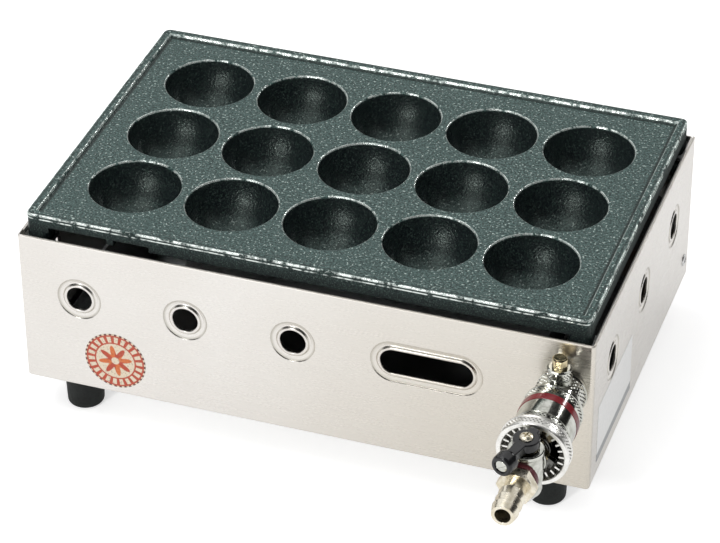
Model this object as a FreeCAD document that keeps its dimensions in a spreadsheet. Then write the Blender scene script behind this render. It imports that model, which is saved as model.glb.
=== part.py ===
import FreeCAD, Part
import math
import os
import re
import Sketcher

# Gas takoyaki maker: a cast plate of round pits, lifted in and out of a stainless casing,
# over a comb burner that a gas cock feeds from the front right.
# Millimetres. +Z is up and the front faces -Y. Positions on the casing are given from the
# middle of its width (x), from the outer face of its front wall (y) and from the table (z).
# Pieces of the gas fitting are made along their own +Z, which points forward from the wall.

SIZES = (
    # casing
    ("casing_width", 258, "over the side walls"),
    ("casing_depth", 169, "front wall to back panel"),
    ("wall_height", 75, "height of the casing walls"),
    ("sheet", 0.8, "thickness of the stainless sheet"),
    ("bend_radius", 1.6, "outside radius of the front corner bends"),
    ("hem_thickness", 0.9, "folded layer inside the top edge"),
    ("hem_depth", 4, "height of the folded layer"),
    ("flange_width", 24, "foot flange along the bottom edge"),
    ("relief", 3, "notch in the hem at each front corner"),
    # air holes and lighting slot
    ("air_hole_radius", 5.75, "air hole"),
    ("dish_margin", 4.4, "width of the dished ring round a hole"),
    ("dish_depth", 2.2, "how far a ring is pressed in"),
    ("dish_floor", 1.5, "flat land round the hole at the bottom of a dish"),
    ("hole_height", 47, "holes and slot above the wall's bottom edge"),
    ("front_hole_in", 27.5, "first front air hole from the left side"),
    ("front_hole_pitch", 49.2, "front air holes"),
    ("slot_in", 72.4, "middle of the lighting slot from the right side"),
    ("slot_length", 41, "lighting slot"),
    ("slot_radius", 6, "half the height of the lighting slot"),
    ("side_hole_pitch", 52, "side air holes"),
    ("back_hole_pitch", 49, "back air holes"),
    # floor, shield and feet
    ("pan_gap", 0.3, "pan edge to casing wall"),
    ("pan_edge", 6, "turned-up edge of the floor pan"),
    ("shield_side", 42, "heat shield inside each side wall"),
    ("shield_end", 20.5, "heat shield inside the front and the back"),
    ("shield_height", 11, "top of the shield over the pan"),
    ("shield_foot", 8, "width of the shield's feet"),
    ("foot_height", 18, "rubber foot"),
    ("foot_radius", 8.8, "rubber foot at the top"),
    ("foot_taper", 0.6, "narrower by this at the bottom"),
    ("foot_round", 2.6, "bottom edge of the foot"),
    ("foot_side", 21.5, "feet from the side walls"),
    ("foot_inset", 13.5, "feet from the front and back faces"),
    ("foot_screw_radius", 2, "screw through a foot"),
    ("foot_screw_head", 3.6, "head radius of the foot screw"),
    ("foot_recess_radius", 4.6, "recess for the screw head"),
    ("foot_recess_depth", 8, "recess for the screw head"),
    ("screw_gap", 0.2, "clearance of a screw in its hole"),
    ("head_height", 2.6, "foot screw head"),
    ("nut_flats", 7, "foot nut across flats"),
    ("nut_height", 3.2, "foot nut"),
    ("back_screw_radius", 1.5, "screws that hold the back panel"),
    ("back_screw_head", 3, "head radius of those screws"),
    ("back_screw_height", 0.8, "head height of those screws"),
    ("back_screw_up", 12, "those screws above the wall's bottom edge"),
    # plate
    ("plate_side_gap", 1.3, "plate to the hem of a side wall"),
    ("plate_front", 3.6, "plate behind the front face of the casing"),
    ("plate_back_gap", 1, "plate to back panel"),
    ("deck_height", 8, "top face of the deck above the casing walls"),
    ("deck_thickness", 4, "deck between the pits"),
    ("rim_height", 1.7, "raised rim round the deck"),
    ("rim_width", 4, "raised rim round the deck"),
    ("skirt_thickness", 4, "wall below the deck's edge"),
    ("skirt_gap", 1, "skirt above the casing walls"),
    ("corner_radius", 3, "vertical corners of the plate"),
    ("leg_side", 10, "square corner leg"),
    ("leg_reach", 4, "legs below the top of the casing walls"),
    ("pit_pitch", 45, "pits in both directions"),
    ("pit_radius", 20.25, "mouth of a pit"),
    ("pit_depth", 19, "depth of a pit"),
    ("pit_wall", 2.5, "wall round a pit"),
    ("pit_columns", 5, "pits along x"),
    ("pit_rows", 3, "pits along y"),
    ("window_in", 10.5, "skirt window from the left side of the plate"),
    ("window_length", 46.5, "skirt window"),
    ("window_post", 28.5, "post in the skirt window, from its left end"),
    ("window_post_width", 3, "post in the skirt window"),
    ("bracket_thickness", 1.6, "plate brackets"),
    ("bracket_side", 13, "shelf of a plate bracket"),
    ("bracket_drop", 13, "upright of a plate bracket"),
    # burner
    ("tube_height", 34, "burner tubes above the casing's bottom edge"),
    ("tube_radius", 8, "burner tube"),
    ("tube_bore", 5.5, "inside radius of a burner tube"),
    ("tube_end_in", 23, "closed tube ends from the left side"),
    ("spigot_radius", 4, "spigot on a tube end"),
    ("spigot_length", 5, "spigot on a tube end"),
    ("manifold_radius", 9, "rounding of the manifold's section"),
    ("manifold_bore", 6, "inside of the manifold's section"),
    ("manifold_start", 14, "manifold behind the front face"),
    ("manifold_past", 12, "manifold past the last tube"),
    ("inlet_radius", 11, "boss that the mixing tube enters"),
    ("inlet_start", 6, "inlet boss behind the front face"),
    ("pad_width", 14, "pad under the manifold"),
    ("pad_length", 20, "pad under the manifold"),
    ("pad_drop", 1.5, "pad below the manifold"),
    ("flame_slot", 1.6, "width of a flame slot"),
    ("flame_slot_length", 9, "flame slot across the tube"),
    ("flame_slot_pitch", 8, "flame slots under one pit"),
    ("flame_slot_count", 4, "flame slots under one pit"),
    ("stand_thickness", 1.6, "burner stands"),
    ("stand_foot", 11, "foot of a burner stand"),
    ("stand_margin", 8, "stand beyond the outer spigots and screws"),
    ("stand_screw_radius", 2, "screw through a stand's foot"),
    ("stand_screw_head", 3.6, "screw head"),
    # gas fitting, forward distances from the wall
    ("cock_in", 13, "axis of the gas fitting from the right side"),
    ("cock_height", 50, "axis above the casing's bottom edge"),
    ("running_gap", 0.05, "radial clearance of a turning fit"),
    ("collar_radius", 11, "knurled collar"),
    ("collar_front", 11.5, "front face of the collar"),
    ("collar_spigot_radius", 9, "threaded end through the wall"),
    ("collar_spigot_length", 5.2, "threaded end behind the wall"),
    ("collar_boss_radius", 5.3, "seat of the clamp screw"),
    ("collar_nut_flats", 23, "nut behind the wall"),
    ("collar_nut_thickness", 3.6, "nut behind the wall"),
    ("clamp_forward", 6.1, "clamp screw in front of the wall"),
    ("clamp_flats", 11.4, "clamp screw head across flats"),
    ("clamp_head", 9.5, "clamp screw head"),
    ("clamp_shank", 3, "clamp screw shank radius"),
    ("neck_radius", 7, "mixing tube in the collar"),
    ("neck_back", 14, "mixing tube behind the wall"),
    ("tube_step", 11.6, "mixing tube widens here"),
    ("tube_shoulder", 1.8, "narrow step behind the barrel"),
    ("shoulder_drop", 0.8, "step below the barrel's surface"),
    ("barrel_radius", 12.8, "barrel of the mixing tube"),
    ("barrel_front", 38, "mouth of the mixing tube"),
    ("throat_radius", 5, "throat of the mixing tube"),
    ("mouth_radius", 10.6, "inside of the barrel"),
    ("band_start", 21, "red band"),
    ("band_width", 2, "red band"),
    ("band_depth", 0.6, "red band into the barrel"),
    ("band_proud", 0.2, "red band over the barrel"),
    ("disc_radius", 11.8, "port disc in the mouth"),
    ("disc_thickness", 3, "port disc"),
    ("window_inner", 6.4, "air windows, inner radius"),
    ("window_outer", 10.2, "air windows, outer radius"),
    ("window_angle", 70, "air windows, degrees"),
    ("shutter_gap", 0.2, "shutter to port disc"),
    ("web_thickness", 2.2, "web of the shutter"),
    ("hub_radius", 6, "hub of the shutter"),
    ("hub_length", 3.5, "hub of the shutter"),
    ("bell_radius", 15.5, "bell of the shutter"),
    ("bell_inner", 13, "opening of the bell"),
    ("bell_front", 45, "front face of the bell"),
    ("injector_radius", 4.6, "injector shank that the shutter turns on"),
    ("injector_tip", 28, "tip of the injector"),
    ("injector_flats", 12, "injector hexagon"),
    ("injector_hex", 4.6, "injector hexagon along the axis"),
    ("injector_spigot", 3.6, "threaded end in the cock body, radius"),
    ("injector_spigot_length", 2.2, "threaded end in the cock body"),
    ("injector_bore", 2.3, "bore of the injector"),
    ("jet_radius", 0.5, "jet in the injector's tip"),
    ("plug_forward", 54.2, "cock plug in front of the wall"),
    ("body_radius", 7, "cock body along the axis"),
    ("body_front", 62, "front face of the cock body"),
    ("boss_radius", 7.5, "upright boss of the cock body"),
    ("boss_top", 10.5, "boss above the axis"),
    ("boss_bottom", 11, "boss below the axis"),
    ("plug_top_radius", 5.1, "taper of the plug at the top"),
    ("plug_bottom_radius", 4.2, "taper of the plug at the bottom"),
    ("gas_way", 2.6, "radius of the gas way"),
    ("stem_side", 5, "square on top of the plug"),
    ("stem_height", 5, "square on top of the plug"),
    ("stud_radius", 1.8, "stud below the plug"),
    ("stud_length", 6, "stud below the plug"),
    ("washer_radius", 5.8, "washer under the plug"),
    ("washer_thickness", 0.8, "washer under the plug"),
    ("plug_nut_flats", 7, "nut under the plug"),
    ("plug_nut_height", 3.2, "nut under the plug"),
    ("lever_lift", 0.6, "lever above the boss"),
    ("lever_hub_radius", 5.6, "hub of the lever"),
    ("lever_thickness", 4.4, "hub of the lever"),
    ("lever_width", 4.2, "arm of the lever"),
    ("lever_reach", 13, "arm of the lever, to the knob"),
    ("lever_pin", 1.9, "pin of the arm in the knob, radius"),
    ("lever_pin_length", 4.5, "pin of the arm in the knob"),
    ("lever_tail", 7.5, "arm of the lever behind the plug"),
    ("lever_angle", 15, "lever to the left of straight ahead, degrees"),
    ("knob_radius", 4.7, "knob"),
    ("knob_length", 6.5, "knob"),
    ("knob_round", 1, "rounded edges of the knob"),
    ("knob_recess", 2.3, "recess in the knob's end, radius"),
    ("knob_recess_depth", 0.8, "recess in the knob's end"),
    ("lever_screw_radius", 1.4, "screw on the lever"),
    ("lever_screw_length", 6, "screw in the plug's stem"),
    ("lever_screw_head", 3.2, "head radius of that screw"),
    ("lever_screw_height", 1.8, "head height of that screw"),
    ("ring_thickness", 1.4, "dark red ring"),
    ("ring_radius", 7.3, "dark red ring"),
    ("hex_flats", 14.6, "hexagon of the hose nipple"),
    ("hex_length", 5, "hexagon of the hose nipple"),
    ("nipple_spigot", 4.6, "nipple end in the cock body, radius"),
    ("nipple_spigot_length", 2.6, "nipple end in the cock body"),
    ("stem_radius", 4.75, "plain stem of the nipple, 9.5 mm hose"),
    ("barb_radius", 5.8, "hose barbs"),
    ("barb_length", 4.4, "hose barbs"),
    ("stem_length", 4.6, "plain stem before the barbs"),
    ("nipple_bore", 3.3, "bore of the nipple"),
)
NAMES = {name for name, size, meaning in SIZES}

DOC = FreeCAD.newDocument("TakoyakiMaker")
SHEET = DOC.addObject("Spreadsheet::Sheet", "Sizes")


def fill_sheet():
    """Write every driving dimension into the sheet, with its meaning beside it."""
    for row, (name, size, meaning) in enumerate(SIZES, start=1):
        SHEET.set(f"A{row}", meaning)
        SHEET.set(f"B{row}", str(size))
        SHEET.setAlias(f"B{row}", name)
    DOC.recompute()


def formula(size):
    """Spell a formula of size names as an expression that reads the sheet."""
    return re.sub(r"[a-z][a-z_]*", lambda word: f"Sizes.{word[0]}" if word[0] in NAMES else word[0], str(size))


def value(size):
    """The present value of a formula."""
    return float(SHEET.evalExpression(formula(size)))


# Shared places, worked out from the driving dimensions
COCK_X = "(casing_width / 2 - cock_in)"
FOOT_X = "(casing_width / 2 - foot_side)"
FIRST_HOLE_X = "(front_hole_in - casing_width / 2)"
SLOT_X = "(casing_width / 2 - slot_in)"
TUBE_END = "(casing_width / 2 - tube_end_in)"
SHIELD_LENGTH = "(casing_width - 2 * shield_side)"
SHIELD_WIDTH = "(casing_depth - 2 * shield_end)"
PLATE_WIDTH = "(casing_width - 2 * (sheet + hem_thickness + plate_side_gap))"
CENTRE_X = f"((casing_width / 2 + back_screw_height - {COCK_X} - bell_radius) / 2)"
NIPPLE_TIP = "(body_front + ring_thickness + hex_length + stem_length + 3 * barb_length)"
FRONT_Y = f"(({NIPPLE_TIP} - casing_depth) / 2)"
WALL_TOP = "(foot_height + wall_height)"
FLOOR_TOP = "(foot_height + 2 * sheet)"
INNER_X = "(casing_width / 2 - sheet)"
PLATE_DEPTH = "(casing_depth - sheet - plate_back_gap - plate_front)"
GRID_Y = f"(plate_front + {PLATE_DEPTH} / 2)"
DECK_Z = f"({WALL_TOP} + deck_height)"
BACK_SCREW_Y = "(casing_depth - sheet - bracket_side / 2)"
PAN_X = f"({INNER_X} - sheet - 2 * pan_gap)"
SHELF_Z = f"({WALL_TOP} - leg_reach)"
TUBE_Z = "(foot_height + tube_height)"
COCK_Z = "(foot_height + cock_height)"
CLAMP_SEAT = "(barrel_radius - shoulder_drop)"
SHUTTER_BACK = "(barrel_front + shutter_gap)"
HEX_BACK = f"({SHUTTER_BACK} + hub_length + shutter_gap)"
BODY_BACK = f"({HEX_BACK} + injector_hex)"
LEVER_Y = "(boss_top + lever_lift)"
RING_FRONT = "(body_front + ring_thickness)"
HEX_FRONT = f"({RING_FRONT} + hex_length)"
STAND_LEFT_X = f"({TUBE_END} + spigot_length / 2)"
STAND_LEFT_SCREW_X = f"(-({STAND_LEFT_X} + (stand_thickness + stand_foot) / 2))"
STAND_SPOTS = (
    (STAND_LEFT_SCREW_X, f"{GRID_Y} - pit_pitch"),
    (STAND_LEFT_SCREW_X, f"{GRID_Y} + pit_pitch"),
    (f"({COCK_X} - (pad_width + stand_foot) / 2)", GRID_Y),
)
FOOT_SPOTS = {
    "front_left": (f"-{FOOT_X}", "foot_inset"),
    "front_right": (FOOT_X, "foot_inset"),
    "rear_left": (f"-{FOOT_X}", "casing_depth - foot_inset"),
    "rear_right": (FOOT_X, "casing_depth - foot_inset"),
}

FORWARD = FreeCAD.Rotation(FreeCAD.Vector(1, 0, 0), 90)  # own +Z to the front, own +Y up
AXES = {"x": FreeCAD.Vector(1, 0, 0), "y": FreeCAD.Vector(0, 1, 0), "z": FreeCAD.Vector(0, 0, 1)}


# ---------------------------------------------------------------- drawing and feature helpers
def place(thing, x=0, y=0, z=0, rotation=None):
    """Stand a sub-part at a point of the casing."""
    if rotation:
        thing.Placement = FreeCAD.Placement(FreeCAD.Vector(), rotation)
    for axis, size, start in (("x", x, CENTRE_X), ("y", y, FRONT_Y), ("z", z, "0")):
        thing.setExpression(f"Placement.Base.{axis}", formula(f"{start} + ({size})"))


def place_on_cock(thing):
    """Put a sub-part on the axis of the gas fitting, its own +Z pointing forward."""
    place(thing, COCK_X, 0, COCK_Z, FORWARD)


def new_body(name):
    return DOC.addObject("PartDesign::Body", name)


def origin_part(body, role):
    return next(part for part in body.Origin.OriginFeatures if part.Role == role)


def new_sketch(body, role, lift=0):
    """A sketch parallel to an origin plane of the body, lifted off it along its normal."""
    sketch = body.newObject("Sketcher::SketchObject", f"{body.Name}_outline")
    sketch.AttachmentSupport = [(origin_part(body, role), "")]
    sketch.MapMode = "FlatFace"
    sketch.setExpression("AttachmentOffset.Base.z", formula(lift))
    return sketch


def hold(sketch, line, point, x, y):
    """Hold one point of a sketch at two formulas, measured from the sketch's origin."""
    for kind, axis, size in (("DistanceX", -2, x), ("DistanceY", -1, y)):
        if abs(value(size)) < 1e-9:
            sketch.addConstraint(Sketcher.Constraint("PointOnObject", line, point, axis))
        else:
            number = sketch.addConstraint(Sketcher.Constraint(kind, -1, 1, line, point, value(size)))
            sketch.setExpression(f"Constraints[{number}]", formula(size))


def set_radius(sketch, curve, radius):
    number = sketch.addConstraint(Sketcher.Constraint("Radius", curve, value(radius)))
    sketch.setExpression(f"Constraints[{number}]", formula(radius))


def draw_polygon(sketch, points):
    """A closed outline through points that are given as formulas."""
    spots = [FreeCAD.Vector(value(x), value(y), 0) for x, y in points]
    first = sketch.GeometryCount
    for spot, following in zip(spots, spots[1:] + spots[:1]):
        sketch.addGeometry(Part.LineSegment(spot, following))
    for step, (x, y) in enumerate(points):
        line = first + step
        following = first + (step + 1) % len(points)
        sketch.addConstraint(Sketcher.Constraint("Coincident", line, 2, following, 1))
        hold(sketch, line, 1, x, y)


def draw_rectangle(sketch, left, bottom, right, top):
    draw_polygon(sketch, [(left, bottom), (right, bottom), (right, top), (left, top)])


def draw_circle(sketch, x, y, radius):
    centre = FreeCAD.Vector(value(x), value(y), 0)
    circle = sketch.addGeometry(Part.Circle(centre, AXES["z"], value(radius)))
    hold(sketch, circle, 3, x, y)
    set_radius(sketch, circle, radius)


def draw_link(sketch, near, far, radius):
    """A straight slot with round ends, between two centres given as (x, y) formulas."""
    ends = [FreeCAD.Vector(value(x), value(y), 0) for x, y in (far, near)]
    along = (ends[0] - ends[1]).normalize()
    side = FreeCAD.Vector(-along.y, along.x, 0) * value(radius)
    heading = math.atan2(along.y, along.x)
    start = sketch.GeometryCount
    for number, end in enumerate(ends):
        middle = heading + number * math.pi
        circle = Part.Circle(end, AXES["z"], value(radius))
        sketch.addGeometry(Part.ArcOfCircle(circle, middle - math.pi / 2, middle + math.pi / 2))
        lean = side if number == 0 else -side
        sketch.addGeometry(Part.LineSegment(end + lean, ends[1 - number] + lean))
    for step in range(4):
        sketch.addConstraint(Sketcher.Constraint("Tangent", start + step, 2, start + (step + 1) % 4, 1))
    hold(sketch, start, 3, *far)
    hold(sketch, start + 2, 3, *near)
    set_radius(sketch, start, radius)
    sketch.addConstraint(Sketcher.Constraint("Equal", start, start + 2))


def draw_sector(sketch, inner, outer, angle):
    """A window between two radii, as wide as an angle in degrees, middled on the sketch's x axis."""
    half = f"({angle}) / 2 * 1 deg"
    corners = [(radius, sign) for sign in ("-", "") for radius in (inner, outer)]
    spots = [(f"({radius}) * cos({half})", f"{sign}({radius}) * sin({half})") for radius, sign in corners]
    low_in, low_out, high_in, high_out = [FreeCAD.Vector(value(x), value(y), 0) for x, y in spots]
    start = sketch.GeometryCount
    swing = math.radians(value(angle)) / 2
    origin = FreeCAD.Vector()
    sketch.addGeometry(Part.LineSegment(low_in, low_out))
    sketch.addGeometry(Part.ArcOfCircle(Part.Circle(origin, AXES["z"], value(outer)), -swing, swing))
    sketch.addGeometry(Part.LineSegment(high_out, high_in))
    sketch.addGeometry(Part.ArcOfCircle(Part.Circle(origin, AXES["z"], value(inner)), -swing, swing))
    for first, end, second, tip in ((0, 2, 1, 1), (1, 2, 2, 1), (2, 2, 3, 2), (3, 1, 0, 1)):
        sketch.addConstraint(Sketcher.Constraint("Coincident", start + first, end, start + second, tip))
    for line, point, spot in ((0, 1, 0), (0, 2, 1), (2, 2, 2), (2, 1, 3)):
        hold(sketch, start + line, point, *spots[spot])
    set_radius(sketch, start + 1, outer)
    set_radius(sketch, start + 3, inner)


def draw_bowl(sketch, depth, mouth, top):
    """Half the section of a round bowl about the sketch's y axis.

    The arc runs from the bottom of the bowl, at -depth, through the mouth radius at 0, and on
    to the height of top.
    """
    radius = f"((({mouth}) * ({mouth}) + ({depth}) * ({depth})) / (2 * ({depth})))"
    middle = value(f"{radius} - ({depth})")
    rise = value(top) - middle
    reach = math.sqrt(value(radius) ** 2 - rise ** 2)
    bottom, roof = FreeCAD.Vector(0, -value(depth), 0), FreeCAD.Vector(0, value(top), 0)
    lip = FreeCAD.Vector(reach, value(top), 0)
    circle = Part.Circle(FreeCAD.Vector(0, middle, 0), AXES["z"], value(radius))
    sketch.addGeometry(Part.ArcOfCircle(circle, -math.pi / 2, math.atan2(rise, reach)))
    sketch.addGeometry(Part.LineSegment(lip, roof))
    sketch.addGeometry(Part.LineSegment(roof, bottom))
    for first, end, second, tip in ((0, 2, 1, 1), (1, 2, 2, 1), (2, 2, 0, 1)):
        sketch.addConstraint(Sketcher.Constraint("Coincident", first, end, second, tip))
    sketch.addConstraint(Sketcher.Constraint("PointOnObject", 0, 3, -2))
    set_radius(sketch, 0, radius)
    hold(sketch, 0, 1, "0", f"-({depth})")
    hold(sketch, 1, 2, "0", top)
    sketch.addConstraint(Sketcher.Constraint("Horizontal", 1))


def draw_regular(sketch, sides, flats, turn="0"):
    """A regular outline about the origin; turn is the angle of its first corner in degrees."""
    corner = f"(({flats}) / 2 / cos({180 / sides} deg))"
    angles = [f"(({turn}) + {360 / sides * step}) * 1 deg" for step in range(sides)]
    draw_polygon(sketch, [(f"{corner} * cos({angle})", f"{corner} * sin({angle})") for angle in angles])


def add(body, kind, base=None):
    """Start a feature of the body; its profile is a sketch of the same body."""
    feature = body.newObject(f"PartDesign::{kind}", f"{body.Name}_{kind.lower()}")
    if base:
        feature.Profile = base
    return feature


def settle(body, feature, grows):
    """Recompute the feature and see that it added or removed material as it should."""
    before = body.Shape.Volume if not body.Shape.isNull() else 0.0
    body.Tip = feature
    DOC.recompute()
    change = feature.Shape.Volume - before
    if change * grows <= 0:
        raise ValueError(f"{feature.Name} changed the volume by {change}")
    return feature


def pad(body, sketch, length, reverse=False):
    feature = add(body, "Pad", sketch)
    feature.Reversed = reverse
    feature.setExpression("Length", formula(length))
    return settle(body, feature, 1)


def pocket(body, sketch, depth, reverse=False):
    feature = add(body, "Pocket", sketch)
    feature.Reversed = reverse
    feature.setExpression("Length", formula(depth))
    return settle(body, feature, -1)


def revolve(body, sketch, axis="V_Axis", cut=False):
    feature = add(body, "Groove" if cut else "Revolution", sketch)
    feature.ReferenceAxis = (sketch, [axis])
    feature.Angle = 360
    return settle(body, feature, -1 if cut else 1)


def loft(body, near, far, cut=False):
    feature = add(body, "SubtractiveLoft" if cut else "AdditiveLoft", near)
    feature.Sections = [far]
    feature.Ruled = True
    return settle(body, feature, -1 if cut else 1)


def line_pattern(body, originals, direction, pitch, count, grows):
    """Repeat features along an axis of the body; pitch and count are formulas."""
    pattern = body.newObject("PartDesign::LinearPattern", f"{body.Name}_row")
    pattern.Direction = (origin_part(body, direction), [""])
    pattern.setExpression("Length", formula(f"({pitch}) * (({count}) - 1)"))
    pattern.setExpression("Occurrences", formula(count))
    if originals:
        pattern.Originals = originals
        settle(body, pattern, grows)
    return pattern


def grid_pattern(body, originals, steps, grows):
    """Repeat features along two or three axes; each step is (axis, pitch, count)."""
    grid = body.newObject("PartDesign::MultiTransform", f"{body.Name}_grid")
    grid.Originals = originals
    grid.Transformations = [line_pattern(body, None, *step, grows) for step in steps]
    return settle(body, grid, grows)


def mirrored(body, originals, role, grows):
    mirror = body.newObject("PartDesign::Mirrored", f"{body.Name}_mirror")
    mirror.Originals = originals
    mirror.MirrorPlane = (origin_part(body, role), [""])
    return settle(body, mirror, grows)


def round_edges(body, radius, wanted):
    """Fillet the edges of the body that a test picks out."""
    base = body.Tip
    edges = [f"Edge{number}" for number, edge in enumerate(base.Shape.Edges, start=1) if wanted(edge)]
    feature = body.newObject("PartDesign::Fillet", f"{body.Name}_fillet")
    feature.Base = (base, edges)
    feature.setExpression("Radius", formula(radius))
    body.Tip = feature
    DOC.recompute()
    return feature


def upright(edge, x, y):
    """True for an edge along z at the given distances from the body's middle."""
    middle = edge.CenterOfMass
    level = abs(edge.tangentAt(edge.FirstParameter).z) > 0.999
    return level and abs(abs(middle.x) - x) < 0.01 and abs(middle.y - y) < 0.01


def ring_edge(edge, radius, height):
    """True for a round edge about the body's axis, of a radius and at a height."""
    round_one = isinstance(edge.Curve, Part.Circle)
    return round_one and abs(edge.Curve.Radius - radius) < 0.01 and abs(edge.CenterOfMass.z - height) < 0.01


def turned(name, profile):
    """A body turned about its own z axis from an outline of (radius, height) points."""
    body = new_body(name)
    sketch = new_sketch(body, "XZ_Plane")
    draw_polygon(sketch, profile)
    revolve(body, sketch)
    return body


def bar(name, outline, start, length):
    """A body of one outline, drawn across its own z axis and padded along it."""
    body = new_body(name)
    sketch = new_sketch(body, "XY_Plane", start)
    outline(sketch)
    pad(body, sketch, length)
    return body


def drill(body, role, lift, x, y, radius, depth, reverse=False):
    sketch = new_sketch(body, role, lift)
    draw_circle(sketch, x, y, radius)
    return pocket(body, sketch, depth, reverse)


def bolts(name, spots, rotation, head_radius, head, shank_radius, shank):
    """A group of equal fasteners: a head and a shank that points down its own axis."""
    made = []
    for number, (x, y, z) in enumerate(spots, start=1):
        head_part = DOC.addObject("Part::Cylinder", f"{name}_head")
        head_part.setExpression("Radius", formula(head_radius))
        head_part.setExpression("Height", formula(head))
        shank_part = DOC.addObject("Part::Cylinder", f"{name}_shank")
        shank_part.setExpression("Radius", formula(shank_radius))
        shank_part.setExpression("Height", formula(f"({shank}) + ({head}) / 2"))
        shank_part.setExpression("Placement.Base.z", formula(f"-({shank})"))
        one = DOC.addObject("Part::MultiFuse", f"{name}_{number}")
        one.Shapes = [head_part, shank_part]
        place(one, x, y, z, rotation)
        made.append(one)
    group = DOC.addObject("Part::Compound", name)
    group.Links = made
    return group


# ---------------------------------------------------------------- casing
def press_dish(body, role, face, inward, outline, originals):
    """Press a dished ring into a wall and pierce its floor; outline draws a hole, grown by a margin."""
    def at(depth):
        return f"{face} + ({inward}) * ({depth})"
    outer = new_sketch(body, role, at(0))
    outline(outer, "dish_margin")
    inner = new_sketch(body, role, at("dish_depth + sheet"))
    outline(inner, "dish_floor")
    originals.append(loft(body, outer, inner))
    hollow = new_sketch(body, role, at(0))
    outline(hollow, "dish_margin - sheet")
    floor = new_sketch(body, role, at("dish_depth"))
    outline(floor, "dish_floor - sheet / 2")
    originals.append(loft(body, hollow, floor, cut=True))
    hole = new_sketch(body, role, at(0))
    outline(hole, "0")
    originals.append(pocket(body, hole, "dish_depth + 2 * sheet", reverse=inward == "1"))


def walls(body, thickness, bottom, height, end, inset="0"):
    """Pad a strip along the front and both sides, as seen from above."""
    outer = f"(casing_width / 2 - ({inset}))"
    inner = f"(casing_width / 2 - ({inset}) - ({thickness}))"
    front = f"({inset}) + ({thickness})"
    strip = new_sketch(body, "XY_Plane", bottom)
    draw_polygon(strip, [
        (f"-{outer}", end), (f"-{outer}", inset), (outer, inset), (outer, end),
        (inner, end), (inner, front), (f"-{inner}", front), (f"-{inner}", end),
    ])
    return pad(body, strip, height)


def casing_shell():
    """Front and side walls from one sheet: hem, foot flange, dished holes and slot."""
    body = new_body("casing_shell")
    walls(body, "sheet", 0, "wall_height", "casing_depth")
    walls(body, "hem_thickness", "wall_height - hem_depth", "hem_depth", "casing_depth - bracket_side - pan_gap", "sheet")
    walls(body, "flange_width", 0, "sheet", "casing_depth - sheet", "sheet")
    half = value("casing_width / 2")
    round_edges(body, "bend_radius", lambda edge: upright(edge, half, 0))
    for side in ("-1", "1"):
        notch = new_sketch(body, "XY_Plane", "wall_height - hem_depth")
        near, far = sorted((f"{side} * ({INNER_X} - hem_thickness - relief)", f"{side} * {INNER_X}"), key=value)
        draw_rectangle(notch, near, "sheet", far, "sheet + hem_thickness + relief")
        pocket(body, notch, "hem_depth", reverse=True)

    front = []
    press_dish(body, "XZ_Plane", "0", "-1",
               lambda sketch, grow: draw_circle(sketch, FIRST_HOLE_X, "hole_height", f"air_hole_radius + {grow}"),
               front)
    line_pattern(body, front, "X_Axis", "front_hole_pitch", "3", -1)
    reach = "(slot_length / 2 - slot_radius)"
    press_dish(body, "XZ_Plane", "0", "-1",
               lambda sketch, grow: draw_link(sketch, (f"{SLOT_X} - {reach}", "hole_height"),
                                              (f"{SLOT_X} + {reach}", "hole_height"), f"slot_radius + {grow}"), [])
    for face, inward in (("casing_width / 2", "-1"), ("-casing_width / 2", "1")):
        side = []
        press_dish(body, "YZ_Plane", face, inward,
                   lambda sketch, grow: draw_circle(sketch, "casing_depth / 2 - side_hole_pitch", "hole_height",
                                                    f"air_hole_radius + {grow}"), side)
        line_pattern(body, side, "Y_Axis", "side_hole_pitch", "3", -1)
    drill(body, "XZ_Plane", "0", COCK_X, "cock_height", "collar_spigot_radius + screw_gap", "2 * sheet")
    for x in (f"-{FOOT_X}", FOOT_X):
        for y in ("foot_inset", "casing_depth - foot_inset"):
            drill(body, "XY_Plane", 0, x, y, "foot_screw_radius + screw_gap", "2 * sheet", True)
    for x, reverse in (("casing_width / 2", False), ("-casing_width / 2", True)):
        drill(body, "YZ_Plane", x, BACK_SCREW_Y, "back_screw_up", "back_screw_radius + screw_gap", "2 * sheet",
              reverse)
    place(body, 0, 0, "foot_height")
    return body


def back_panel():
    """Back sheet between the side walls, with flanges against them and dished air holes."""
    body = new_body("back_panel")
    outline = new_sketch(body, "XY_Plane")
    half = f"({INNER_X} - pan_gap / 3)"
    flange = f"({half} - sheet)"
    draw_polygon(outline, [
        (f"-{half}", "0"), (half, "0"), (half, "-bracket_side"), (flange, "-bracket_side"), (flange, "-sheet"),
        (f"-{flange}", "-sheet"), (f"-{flange}", "-bracket_side"), (f"-{half}", "-bracket_side"),
    ])
    pad(body, outline, "wall_height - sheet")
    row = []
    press_dish(body, "XZ_Plane", "0", "1",
               lambda sketch, grow: draw_circle(sketch, "-1.5 * back_hole_pitch", "hole_height - sheet",
                                                f"air_hole_radius + {grow}"), row)
    line_pattern(body, row, "X_Axis", "back_hole_pitch", "4", -1)
    for x, reverse in ((half, False), (f"-{half}", True)):
        drill(body, "YZ_Plane", x, "-sheet - bracket_side / 2", "back_screw_up - sheet",
              "back_screw_radius + running_gap", "2 * sheet", reverse)
    place(body, 0, "casing_depth", "foot_height + sheet")
    return body


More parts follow.
